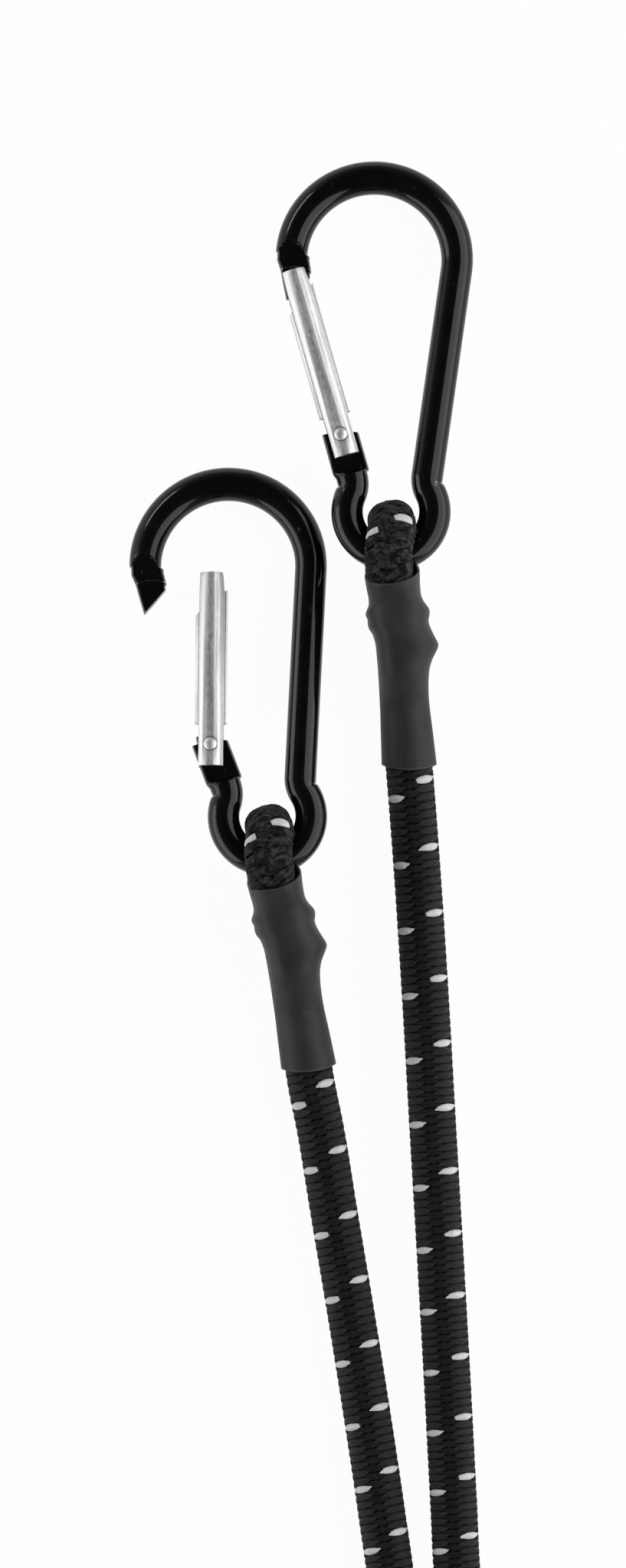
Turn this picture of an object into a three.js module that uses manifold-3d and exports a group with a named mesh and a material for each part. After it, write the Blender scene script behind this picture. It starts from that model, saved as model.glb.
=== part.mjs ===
// Bungee cord with a snap hook on each end, lying folded in two on a flat surface.
// Millimetres, +Z up. The origin is on the surface, under the middle of the two hook ends.
// Each end has its own frame at the foot of the hook's eye: -Y runs down the cord, +Z is up.
import * as THREE from 'three';
import * as BufferGeometryUtils from 'three/addons/utils/BufferGeometryUtils.js';
import Module from 'manifold-3d';

const wasm = await Module();
wasm.setup();

// Clearances
const seatGap = 0.3;
const runningGap = 0.2;

// Cord
const cordDiameter = 9;
const coverWall = 0.9;
const cordSides = 10;
const cordSteps = 60;

// Cord folded over the hook's eye: its section is wide over the bar and drawn in by the crimp
const loopWidth = 9.2;
const loopThickness = 7.6;
const gripWidth = 7.9;
const gripThickness = 7.4;
const tailLevelRun = 2.5;
const tailDrop = 8;
const tailLength = 22;
const loopSteps = 14;

// Hook, bent from one round bar; heights are from the foot of its eye
const barDiameter = 6.1;
const barSides = 10;
const barSteps = 84;
const eyeClearance = 0.75;
const archRadius = 15.9;
const spineFootAcross = 7.1;
const spineFootUp = 16;
const neckRadius = 5.5;
const hookTurn = -4.1;

// Flat blades pressed from the ends of the bar
const bladeThickness = 2.9;
const bladeRoot = 1.5;
const bladeInset = 0.15;
const tangWidth = 6.9;
const limbRun = 0.72;
const tangShoulder = 0.3;
const tangReach = 2.5;
const tangEndWidth = 4.4;
const camSlope = 14;
const noseReach = 5.9;
const noseRise = 1.65;
const noseStep = 0.825;
const noseGap = 0.45;
const noseInner = 2;
const noseOuter = 3.2;

// Gate; lengths are from its rivet
const gateDiameter = 6.1;
const gateSides = 20;
const gateLean = 15.1;
const pivotAcross = -9.6;
const pivotUp = 23.1;
const gateAbove = 33.3;
const gateBelow = 4.1;
const lowerSlotGap = 0.4;
const upperSlotInner = 3.2;
const upperSlotOuter = 8.2;
const springBore = 3.4;
const boreTop = 20;
const gateTravel = 35;
const holeSides = 16;

// Rivet
const rivetShank = 2;
const rivetHead = 2.65;
const rivetDome = 0.6;
const rivetEdge = 0.2;
const rivetCrown = 0.8;
const rivetSides = 16;

// Spring and push pin
const springWire = 0.42;
const springCurls = 8;
const springSides = 5;
const curlSteps = 8;
const pinDiameter = 2;
const pinHeadGap = 0.25;
const pinLength = 6;
const pinHeadLength = 1.4;
const pinTravel = 1.2;
const pinSides = 12;

// Crimp wire round both legs of the folded cord
const crimpWire = 1.2;
const crimpLead = 0.4;
const crimpPitch = 2.5;
const crimpTurns = 1.7;
const crimpTail = 3.4;
const crimpFlare = 1.1;
const crimpPower = 3.2;
const crimpSides = 6;
const crimpTurnSteps = 24;

// Sleeve
const sleeveWall = 0.4;
const sleeveSides = 16;
const sleeveLength = 40.5;
const sleeveNeckRun = 5.5;
const tipCloseRun = 2.4;
const cordEntry = 2.5;

// Squareness of rounded sections
const ellipsePower = 2;
const foldPower = 3;
const mouthPower = 4;

// The two ends: where the foot of the eye lies, how far the end is turned and how far the gate stands open
const ends = [
  { side: 'left', across: -5.13, along: -46.25, turn: 9.3, open: 20 },
  { side: 'right', across: 17.77, along: 12.02, turn: 4.1, open: 0 },
];

// Free cord, from inside the right sleeve, round its fold and back into the left one
const cordRoute = [
  [20.5, -26.3, 5.8], [21.0, -32.3, 5.7], [21.7, -41.3, 5.2], [22.7, -55.3, 4.65], [23.9, -74.3, 4.55],
  [25.2, -97.3, 4.55], [26.6, -121.3, 4.55], [28.0, -146.3, 4.55], [29.2, -169.3, 4.55], [30.1, -185.3, 4.55],
  [31.8, -195.3, 4.55], [35.9, -204.3, 4.55], [41.3, -211.8, 4.55], [45.8, -219.3, 4.55], [47.9, -228.8, 4.55],
  [45.9, -238.8, 4.55], [39.4, -246.9, 4.55], [29.7, -250.9, 4.55], [19.3, -249.9, 4.55], [10.7, -244.3, 4.55],
  [5.9, -235.3, 4.55], [5.7, -225.3, 4.55], [9.5, -215.9, 4.55], [14.1, -206.9, 4.55], [17.2, -197.1, 4.55],
  [17.3, -186.3, 4.55], [15.5, -172.3, 4.55], [12.6, -152.8, 4.55], [9.5, -133.3, 4.55], [6.4, -114.8, 4.65],
  [3.8, -98.8, 5.2], [2.0, -89.8, 5.7], [1.1, -84.2, 5.8],
];

const radians = THREE.MathUtils.degToRad;

// The eye goes round the folded cord, and the arch ends over the top of the closed gate
const barRadius = barDiameter / 2;
const eyeRadius = loopWidth / 2 + barRadius + eyeClearance;
const archOffset = pivotAcross - gateAbove * Math.sin(radians(gateLean)) - noseStep + archRadius;
const archHeight = pivotUp + gateAbove * Math.cos(radians(gateLean)) + noseRise;
const archTop = archHeight + archRadius;
const noseTip = gateAbove - noseReach;

// The spine runs straight from its foot until it touches the arch
const toArch = new THREE.Vector2(archOffset - spineFootAcross, archHeight - spineFootUp);
const spineLean = Math.PI / 2 - toArch.angle() + Math.asin(archRadius / toArch.length());

// The gate's lower slot lets the end of the tang turn in it
const tangEndHalf = tangEndWidth / 2;
const camRise = tangEndHalf * Math.tan(radians(camSlope));
const lowerSlot = Math.hypot(tangEndHalf, tangReach + camRise) + lowerSlotGap;
const pinHead = springBore - 2 * pinHeadGap;

// Levels in an end's frame, from the middle of the eye's bar
const loopRadius = barRadius + seatGap + loopThickness / 2;
const legLevel = -loopRadius;
const tailLevel = legLevel + gripThickness + seatGap;
const tailFall = loopRadius - tailLevel;
const stackMiddle = (legLevel + tailLevel) / 2;
const crimpStart = tailLevelRun + tailDrop + crimpLead;
const crimpHalfHeight = (tailLevel - legLevel + gripThickness + crimpWire) / 2 + seatGap;
const crimpHalfWidth = (gripWidth + crimpWire) / 2 + seatGap;
const sleeveOverCrimp = crimpWire / 2 + seatGap + sleeveWall;
const sleeveOverCord = seatGap + sleeveWall;
const sleeveFoot = stackMiddle - crimpHalfHeight - sleeveOverCrimp;
const barLevel = -sleeveFoot;
const hookTilt = -Math.asin((barLevel - barRadius) / archTop);

// Finishes
const finish = {
  black: new THREE.MeshStandardMaterial({ color: 0x0c0c0d, roughness: 0.25, metalness: 0.6 }),
  bright: new THREE.MeshStandardMaterial({ color: 0xc9c9c7, roughness: 0.3, metalness: 1 }),
  polished: new THREE.MeshStandardMaterial({ color: 0xdcdcda, roughness: 0.15, metalness: 1 }),
  steel: new THREE.MeshStandardMaterial({ color: 0x9a9c9e, roughness: 0.35, metalness: 1 }),
  braid: new THREE.MeshStandardMaterial({ color: 0x1b1b1c, roughness: 0.9, metalness: 0 }),
  latex: new THREE.MeshStandardMaterial({ color: 0xb9ab8c, roughness: 0.8, metalness: 0 }),
  shrink: new THREE.MeshStandardMaterial({ color: 0x353534, roughness: 0.7, metalness: 0 }),
};

function toSolid(geometry) {
  const bare = geometry.clone();
  bare.deleteAttribute('normal');
  bare.deleteAttribute('uv');
  const merged = BufferGeometryUtils.mergeVertices(bare, 1e-4);
  const vertProperties = new Float32Array(merged.attributes.position.array);
  const triVerts = new Uint32Array(merged.index.array);
  return new wasm.Manifold(new wasm.Mesh({ numProp: 3, vertProperties, triVerts }));
}

function toGeometry(solid) {
  const mesh = solid.getMesh();
  const geometry = new THREE.BufferGeometry();
  geometry.setAttribute('position', new THREE.BufferAttribute(mesh.vertProperties, 3));
  geometry.setIndex(new THREE.BufferAttribute(mesh.triVerts, 1));
  return geometry;
}

function cut(geometry, ...tools) {
  return toGeometry(tools.reduce((solid, tool) => solid.subtract(toSolid(tool)), toSolid(geometry)));
}

function join(geometry, ...others) {
  return toGeometry(others.reduce((solid, other) => solid.add(toSolid(other)), toSolid(geometry)));
}

function piece(name, geometry, material) {
  const mesh = new THREE.Mesh(geometry, material);
  mesh.name = name;
  return mesh;
}

// A rounded polygon of the given half sizes: power 2 is an ellipse, a higher power is squarer
function ovalPoints(left, right, low, high, power, sides) {
  const middle = (low + high) / 2;
  const halfHeight = (high - low) / 2;
  const round = (value) => Math.sign(value) * Math.abs(value) ** (2 / power);
  return Array.from({ length: sides }, (_, index) => {
    const angle = 2 * Math.PI * (index + 0.5) / sides;
    const across = round(Math.cos(angle));
    const up = middle + halfHeight * round(Math.sin(angle));
    return new THREE.Vector2(across * (across < 0 ? left : right), up);
  });
}

// A closed body through rings of points; with inner rings it is a tube with a bore
function loft(rings, bores) {
  const sides = rings[0].length;
  const last = rings.length - 1;
  const points = [...rings, ...(bores ?? [])].flat();
  const faces = [];
  const quad = (a, b, c, d) => faces.push(a, b, c, a, c, d);
  const boreStart = rings.length * sides;
  for (let side = 0; side < sides; side++) {
    const next = (side + 1) % sides;
    for (let ring = 0; ring < last; ring++) {
      const low = ring * sides;
      quad(low + side, low + sides + side, low + sides + next, low + next);
      if (bores) {
        const inner = boreStart + low;
        quad(inner + next, inner + sides + next, inner + sides + side, inner + side);
      }
    }
    const end = last * sides;
    if (bores) {
      quad(side, next, boreStart + next, boreStart + side);
      quad(end + next, end + side, boreStart + end + side, boreStart + end + next);
    } else if (side > 0 && side < sides - 1) {
      faces.push(0, side, side + 1, end, end + side + 1, end + side);
    }
  }
  const coordinates = points.flatMap((point) => [point.x, point.y, point.z]);
  const geometry = new THREE.BufferGeometry();
  geometry.setAttribute('position', new THREE.Float32BufferAttribute(coordinates, 3));
  geometry.setIndex(faces);
  return geometry;
}

function polygonShape(radius, sides) {
  return new THREE.Shape(ovalPoints(radius, radius, -radius, radius, ellipsePower, sides));
}

function tubeAlong(path, shape, steps) {
  return new THREE.ExtrudeGeometry(shape, { steps, extrudePath: path, bevelEnabled: false });
}

function plate(points, thickness) {
  const shape = new THREE.Shape(points);
  const geometry = new THREE.ExtrudeGeometry(shape, { depth: thickness, bevelEnabled: false });
  return geometry.translate(0, 0, -thickness / 2);
}

function rodAcross(diameter, low, high, sides) {
  const geometry = new THREE.CylinderGeometry(diameter / 2, diameter / 2, high - low, sides);
  return geometry.rotateX(Math.PI / 2).translate(0, 0, (low + high) / 2);
}

function rodAlong(diameter, low, high, sides) {
  const geometry = new THREE.CylinderGeometry(diameter / 2, diameter / 2, high - low, sides);
  return geometry.translate(0, (low + high) / 2, 0);
}

// An arc in the hook's plane, from one angle to another
class FlatArc extends THREE.Curve {
  constructor(center, radius, from, to) {
    super();
    Object.assign(this, { center, radius, from, to });
  }

  getPoint(share, target = new THREE.Vector3()) {
    const angle = this.from + (this.to - this.from) * share;
    const across = this.center.x + this.radius * Math.cos(angle);
    return target.set(across, this.center.y + this.radius * Math.sin(angle), 0);
  }
}

class Helix extends THREE.Curve {
  constructor(radius, low, high, turns) {
    super();
    Object.assign(this, { radius, low, high, turns });
  }

  getPoint(share, target = new THREE.Vector3()) {
    const angle = 2 * Math.PI * this.turns * share;
    const height = this.low + (this.high - this.low) * share;
    return target.set(this.radius * Math.cos(angle), height, this.radius * Math.sin(angle));
  }
}

// Where the gate's own directions point in the hook's plane
const pivot = new THREE.Vector2(pivotAcross, pivotUp);
const gateUp = new THREE.Vector2(-Math.sin(radians(gateLean)), Math.cos(radians(gateLean)));
const gateInward = new THREE.Vector2(gateUp.y, -gateUp.x);

function besideGate(along, inward) {
  return pivot.clone().addScaledVector(gateUp, along).addScaledVector(gateInward, inward);
}

function upperSlotFloor(inward) {
  const share = (inward + gateDiameter / 2) / gateDiameter;
  return gateAbove - upperSlotOuter + share * (upperSlotOuter - upperSlotInner);
}

// The bend that leads a straight limb on to the eye, curving the other way round
function neck(limbPoint, limbDown, outward) {
  const eye = new THREE.Vector2(0, eyeRadius);
  const start = limbPoint.clone().addScaledVector(outward, neckRadius).sub(eye);
  const half = start.dot(limbDown);
  const reach = eyeRadius + neckRadius;
  const travel = -half - Math.sqrt(half * half - start.lengthSq() + reach * reach);
  const center = start.addScaledVector(limbDown, travel).add(eye);
  const onLimb = center.clone().addScaledVector(outward, -neckRadius);
  const limbAngle = onLimb.clone().sub(center).angle();
  const eyeAngle = center.clone().sub(eye).angle();
  return { center, onLimb, limbAngle, eyeAngle };
}

const leftNeck = neck(pivot, gateUp.clone().negate(), gateInward.clone().negate());
const tangLength = leftNeck.onLimb.distanceTo(pivot) - limbRun;

function barPath() {
  const arch = new THREE.Vector2(archOffset, archHeight);
  const spineOut = new THREE.Vector2(Math.cos(spineLean), -Math.sin(spineLean));
  const spineDown = new THREE.Vector2(-Math.sin(spineLean), -Math.cos(spineLean));
  const spineTop = arch.clone().addScaledVector(spineOut, archRadius);
  const right = neck(spineTop, spineDown, spineOut);
  const tangFoot = besideGate(-tangLength, 0);
  const eye = new THREE.Vector2(0, eyeRadius);
  const flat = (point) => new THREE.Vector3(point.x, point.y, 0);
  const path = new THREE.CurvePath();
  path.add(new FlatArc(arch, archRadius, Math.PI, -spineLean));
  path.add(new THREE.LineCurve3(flat(spineTop), flat(right.onLimb)));
  path.add(new FlatArc(right.center, neckRadius, right.limbAngle, right.eyeAngle + Math.PI));
  path.add(new FlatArc(eye, eyeRadius, right.eyeAngle, leftNeck.eyeAngle - 2 * Math.PI));
  path.add(new FlatArc(leftNeck.center, neckRadius, leftNeck.eyeAngle - Math.PI, leftNeck.limbAngle));
  path.add(new THREE.LineCurve3(flat(leftNeck.onLimb), flat(tangFoot)));
  return path;
}

function noseBlade() {
  const rootUp = archHeight + bladeRoot;
  const rootHalf = barRadius - bladeInset;
  const rootMiddle = archOffset - archRadius;
  const innerEnd = upperSlotFloor(noseInner) + noseGap;
  return plate([
    besideGate(noseTip, -noseOuter),
    besideGate(innerEnd, noseInner),
    new THREE.Vector2(rootMiddle + rootHalf, rootUp),
    new THREE.Vector2(rootMiddle - rootHalf, rootUp),
    besideGate(gateAbove, -noseOuter),
  ], bladeThickness);
}

function hingeTang() {
  const half = tangWidth / 2;
  const rootHalf = barRadius - bladeInset;
  const outline = [
    besideGate(-tangLength - bladeRoot, -rootHalf),
    besideGate(-tangLength - bladeRoot, rootHalf),
    besideGate(-tangLength, half),
    besideGate(tangShoulder, half),
    besideGate(tangReach + camRise, tangEndHalf),
    besideGate(tangReach - camRise, -tangEndHalf),
    besideGate(tangShoulder, -half),
    besideGate(-tangLength, -half),
  ];
  const hole = rodAcross(rivetShank + 2 * runningGap, -bladeThickness, bladeThickness, holeSides);
  return cut(plate(outline, bladeThickness), hole.translate(pivot.x, pivot.y, 0));
}

function hookGeometry() {
  const bar = tubeAlong(barPath(), polygonShape(barRadius, barSides), barSteps);
  return join(bar, noseBlade(), hingeTang());
}

// The rivet's heads sit in shallow flats on the round gate
const rivetSeat = Math.sqrt((gateDiameter / 2) ** 2 - (rivetHead / 2 + runningGap) ** 2);

function gateGeometry() {
  const slotWidth = bladeThickness + 2 * runningGap;
  const past = gateDiameter;
  const below = -gateBelow - past;
  const body = rodAlong(gateDiameter, -gateBelow, gateAbove, gateSides);
  const bore = rodAlong(springBore, below, boreTop, holeSides);
  const lower = new THREE.BoxGeometry(2 * past, lowerSlot - below, slotWidth);
  const upper = plate([
    new THREE.Vector2(-past, upperSlotFloor(-past)),
    new THREE.Vector2(past, upperSlotFloor(past)),
    new THREE.Vector2(past, gateAbove + past),
    new THREE.Vector2(-past, gateAbove + past),
  ], slotWidth);
  const shank = rodAcross(rivetShank + 2 * runningGap, -past, past, holeSides);
  const spot = rivetHead + 2 * runningGap;
  const front = rodAcross(spot, rivetSeat, past, holeSides);
  const back = rodAcross(spot, -past, -rivetSeat, holeSides);
  return cut(body, bore, lower.translate(0, (lowerSlot + below) / 2, 0), upper, shank, front, back);
}

function rivetGeometry() {
  const seat = rivetSeat + runningGap;
  const top = seat + rivetDome;
  const half = [
    [0, top],
    [rivetCrown, top - rivetEdge / 2],
    [rivetHead / 2, seat + rivetEdge],
    [rivetHead / 2, seat],
    [rivetShank / 2, seat],
  ];
  const mirrored = half.map(([radius, level]) => [radius, -level]).reverse();
  const profile = [...half, ...mirrored].reverse().map(([radius, level]) => new THREE.Vector2(radius, level));
  return new THREE.LatheGeometry(profile, rivetSides).rotateX(Math.PI / 2);
}

// The push pin rests on the sloping end of the tang and is lifted as the gate opens
function pinRest(open) {
  return tangReach + seatGap + pinTravel * open / gateTravel;
}

function pinGeometry(open) {
  const tip = pinRest(open);
  const shoulder = tip + pinLength - pinHeadLength;
  const profile = [
    [0, tip],
    [pinDiameter / 2, tip + pinDiameter / 2],
    [pinDiameter / 2, shoulder],
    [pinHead / 2, shoulder],
    [pinHead / 2, tip + pinLength],
    [0, tip + pinLength],
  ];
  return new THREE.LatheGeometry(profile.map(([radius, level]) => new THREE.Vector2(radius, level)), pinSides);
}

function springGeometry(open) {
  const margin = springWire / 2 + seatGap;
  const low = pinRest(open) + pinLength + margin;
  const high = boreTop - margin;
  const radius = (springBore - springWire) / 2 - runningGap;
  const helix = new Helix(radius, low, high, springCurls);
  return tubeAlong(helix, polygonShape(springWire / 2, springSides), springCurls * curlSteps);
}

// Stations along the folded cord: place, direction and how far the section is drawn in
function loopStations() {
  const stations = [];
  const add = (along, level, heading, grip) => stations.push({ along, level, heading, grip });
  add(cordEntry - sleeveLength, legLevel, 0, 1);
  add(-tailLength, legLevel, 0, 1);
  add(-tailLevelRun - tailDrop, legLevel, 0, 1);
  add(-tailLevelRun, legLevel, 0, 0);
  for (let step = 0; step <= loopSteps; step++) {
    const heading = Math.PI * step / loopSteps;
    add(loopRadius * Math.sin(heading), -loopRadius * Math.cos(heading), heading, 0);
  }
  for (const share of [0, 0.25, 0.5, 0.75, 1]) {
    const slope = Math.atan2(6 * share * (1 - share) * tailFall, tailDrop);
    const level = loopRadius - tailFall * (3 - 2 * share) * share * share;
    add(-tailLevelRun - tailDrop * share, level, Math.PI + slope, share);
  }
  add(-tailLength, tailLevel, Math.PI, 1);
  return stations;
}

function loopRings(inset) {
  return loopStations().map(({ along, level, heading, grip }) => {
    const halfWidth = THREE.MathUtils.lerp(loopWidth, gripWidth, grip) / 2 - inset;
    const halfThick = THREE.MathUtils.lerp(loopThickness, gripThickness, grip) / 2 - inset;
    const section = ovalPoints(halfWidth, halfWidth, -halfThick, halfThick, ellipsePower, cordSides);
    return section.map((point) => new THREE.Vector3(
      point.x,
      along - point.y * Math.sin(heading),
      level + point.y * Math.cos(heading),
    ));
  });
}

function crimpPath() {
  const steps = Math.round(crimpTurns * crimpTurnSteps);
  const round = (value) => Math.sign(value) * Math.abs(value) ** (2 / crimpPower);
  const points = Array.from({ length: steps + 1 }, (_, index) => {
    const turns = crimpTurns * index / steps;
    const angle = 2 * Math.PI * (turns - crimpTurns);
    const across = crimpHalfWidth * round(Math.cos(angle));
    const up = stackMiddle + crimpHalfHeight * round(Math.sin(angle));
    return new THREE.Vector3(across, -crimpStart - crimpPitch * turns, up);
  });
  const end = points[points.length - 1];
  points.push(new THREE.Vector3(end.x + crimpFlare, end.y - crimpTail, end.z + crimpTail / 2));
  return new THREE.CatmullRomCurve3(points);
}

// Sections of the sleeve: distance below the bar, half widths, lowest and highest level, squareness
function sleeveSections() {
  const mouth = -(barRadius + 2 * seatGap);
  const loopHalf = loopWidth / 2 + sleeveOverCord;
  const gripHalf = gripWidth / 2 + sleeveOverCord;
  const endHalf = cordDiameter / 2 + sleeveOverCord;
  const middleHalf = (gripHalf + endHalf) / 2;
  const crimpHalf = crimpHalfWidth + sleeveOverCrimp;
  const crimpHigh = stackMiddle + crimpHalfHeight + sleeveOverCrimp;
  const mouthLow = legLevel - loopThickness / 2 - sleeveOverCord;
  const mouthHigh = loopRadius + loopThickness / 2 + sleeveOverCord;
  const gripLow = legLevel - gripThickness / 2 - sleeveOverCord;
  const gripHigh = tailLevel + gripThickness / 2 + sleeveOverCord;
  const crimpEnd = -(crimpStart + crimpPitch * crimpTurns);
  const tip = crimpEnd - crimpTail;
  const tipHalf = crimpHalf + crimpFlare;
  const single = (half) => [legLevel - half, legLevel + half];
  const necked = -(tailLength + sleeveNeckRun);
  return [
    [mouth, loopHalf, loopHalf, mouthLow, mouthHigh, mouthPower],
    [-tailLevelRun - tailDrop / 2, loopHalf, loopHalf, mouthLow, mouthHigh - tailFall / 4, mouthPower],
    [-crimpStart + crimpWire / 2, crimpHalf, crimpHalf, sleeveFoot, crimpHigh, foldPower],
    [-crimpStart - crimpPitch - crimpWire / 2, crimpHalf, crimpHalf, sleeveFoot, crimpHigh, foldPower],
    [crimpEnd - crimpWire / 2, crimpHalf, crimpHalf + crimpFlare / 3, sleeveFoot, crimpHigh, foldPower],
    [tip, gripHalf, tipHalf, gripLow, gripHigh, foldPower],
    [tip - tipCloseRun, gripHalf, gripHalf + crimpFlare, gripLow, gripHigh, foldPower],
    [-tailLength - seatGap - sleeveWall, gripHalf, gripHalf, gripLow, gripHigh, foldPower],
    [necked, gripHalf, gripHalf, ...single(gripHalf), ellipsePower],
    [(necked - sleeveLength) / 2, middleHalf, middleHalf, ...single(gripHalf), ellipsePower],
    [-sleeveLength, endHalf, endHalf, ...single(endHalf), ellipsePower],
  ];
}

function sleeveGeometry() {
  const ring = (inset) => sleeveSections().map(([along, left, right, low, high, power]) => (
    ovalPoints(left - inset, right - inset, low + inset, high - inset, power, sleeveSides)
      .map((point) => new THREE.Vector3(point.x, along, point.y))
  ));
  return loft(ring(0).reverse(), ring(sleeveWall).reverse());
}

function gateGroup(side, open) {
  const group = new THREE.Group();
  group.position.set(pivot.x, pivot.y, 0);
  group.rotation.z = radians(gateLean - open);
  group.add(
    piece(`${side}_gate`, gateGeometry(), finish.bright),
    piece(`${side}_gate_rivet`, rivetGeometry(), finish.polished),
    piece(`${side}_gate_plunger`, pinGeometry(open), finish.steel),
    piece(`${side}_gate_spring`, springGeometry(open), finish.steel),
  );
  return group;
}

// The hook turns about the middle of its eye and dips until its arch lies on the surface
function hookGroup(side, open) {
  const hook = new THREE.Group();
  hook.position.y = -eyeRadius;
  hook.add(piece(`${side}_carabiner`, hookGeometry(), finish.black), gateGroup(side, open));
  const turned = new THREE.Group();
  turned.position.y = eyeRadius;
  turned.rotation.z = radians(hookTurn);
  turned.add(hook);
  const dipped = new THREE.Group();
  dipped.rotation.x = hookTilt;
  dipped.add(turned);
  return dipped;
}

function endGroup({ side, across, along, turn, open }) {
  const coreInset = coverWall + seatGap;
  const crimpShape = polygonShape(crimpWire / 2, crimpSides);
  const crimpSteps = Math.round(crimpTurns * crimpTurnSteps);
  const group = new THREE.Group();
  group.position.set(across, along, barLevel);
  group.rotation.z = radians(turn);
  group.add(
    hookGroup(side, open),
    piece(`${side}_cord_loop`, loft(loopRings(0), loopRings(coverWall)), finish.braid),
    piece(`${side}_loop_core`, loft(loopRings(coreInset)), finish.latex),
    piece(`${side}_crimp`, tubeAlong(crimpPath(), crimpShape, crimpSteps), finish.steel),
    piece(`${side}_sleeve`, sleeveGeometry(), finish.shrink),
  );
  return group;
}

function freeCord() {
  const path = new THREE.CatmullRomCurve3(cordRoute.map((point) => new THREE.Vector3(...point)));
  const radius = cordDiameter / 2;
  const cover = polygonShape(radius, cordSides);
  cover.holes.push(polygonShape(radius - coverWall, cordSides));
  const core = polygonShape(radius - coverWall - seatGap, cordSides);
  return [
    piece('cord_cover', tubeAlong(path, cover, cordSteps), finish.braid),
    piece('cord_core', tubeAlong(path, core, cordSteps), finish.latex),
  ];
}

const bungee = new THREE.Group();
bungee.add(...freeCord(), ...ends.map(endGroup));

export default bungee;
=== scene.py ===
import math
from typing import NamedTuple

import bmesh
import bpy
import numpy as np
from bpy.props import FloatProperty, FloatVectorProperty, IntProperty, PointerProperty
from bpy.types import Operator, Panel, PropertyGroup
from mathutils import Matrix, Vector


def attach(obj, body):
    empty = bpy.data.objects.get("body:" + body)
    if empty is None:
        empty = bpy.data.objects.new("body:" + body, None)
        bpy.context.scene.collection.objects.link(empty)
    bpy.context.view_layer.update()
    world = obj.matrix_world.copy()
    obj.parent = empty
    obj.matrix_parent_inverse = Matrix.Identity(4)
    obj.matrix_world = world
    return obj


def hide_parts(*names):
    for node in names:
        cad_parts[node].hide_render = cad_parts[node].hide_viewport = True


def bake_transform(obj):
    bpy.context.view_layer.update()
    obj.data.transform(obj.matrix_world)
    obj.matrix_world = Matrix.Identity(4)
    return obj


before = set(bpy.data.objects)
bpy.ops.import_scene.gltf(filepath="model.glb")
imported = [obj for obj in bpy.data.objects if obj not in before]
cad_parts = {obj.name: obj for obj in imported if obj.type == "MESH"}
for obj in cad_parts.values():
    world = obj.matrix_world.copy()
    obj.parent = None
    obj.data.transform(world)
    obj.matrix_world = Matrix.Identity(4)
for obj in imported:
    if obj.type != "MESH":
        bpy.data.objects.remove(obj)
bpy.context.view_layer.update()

bl_info = {
    "name": "Bungee Cord",
    "version": (1, 0, 0),
    "blender": (4, 5, 0),
    "location": "3D View > Sidebar > Bungee",
    "description": "Braided elastic cord with a snap hook on each end",
    "category": "Add Mesh",
}

MM = 0.001
SIDES = ("left", "right")

# Each end: the foot of its eye, its turn, and how far its gate stands open
END_PLACE = {
    "left": (-5.13 * MM, -46.25 * MM, math.radians(9.3), math.radians(20)),
    "right": (17.77 * MM, 12.02 * MM, math.radians(4.1), 0.0),
}
END_BODY = {"left": "cord", "right": "right_end"}
BAR_LEVEL = 13.05 * MM
HOOK_TURN = math.radians(-4.1)

# Middle line of the free cord, from the right sleeve round its bend to the left sleeve
CORD_ROUTE = (
    (0.0205, -0.0263, 0.0058), (0.0210, -0.0323, 0.0057), (0.0217, -0.0413, 0.0052),
    (0.0227, -0.0553, 0.00465), (0.0239, -0.0743, 0.00455), (0.0252, -0.0973, 0.00455),
    (0.0266, -0.1213, 0.00455), (0.0280, -0.1463, 0.00455), (0.0292, -0.1693, 0.00455),
    (0.0301, -0.1853, 0.00455), (0.0318, -0.1953, 0.00455), (0.0359, -0.2043, 0.00455),
    (0.0413, -0.2118, 0.00455), (0.0458, -0.2193, 0.00455), (0.0479, -0.2288, 0.00455),
    (0.0459, -0.2388, 0.00455), (0.0394, -0.2469, 0.00455), (0.0297, -0.2509, 0.00455),
    (0.0193, -0.2499, 0.00455), (0.0107, -0.2443, 0.00455), (0.0059, -0.2353, 0.00455),
    (0.0057, -0.2253, 0.00455), (0.0095, -0.2159, 0.00455), (0.0141, -0.2069, 0.00455),
    (0.0172, -0.1971, 0.00455), (0.0173, -0.1863, 0.00455), (0.0155, -0.1723, 0.00455),
    (0.0126, -0.1528, 0.00455), (0.0095, -0.1333, 0.00455), (0.0064, -0.1148, 0.00465),
    (0.0038, -0.0988, 0.0052), (0.0020, -0.0898, 0.0057), (0.0011, -0.0842, 0.0058),
)

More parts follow.
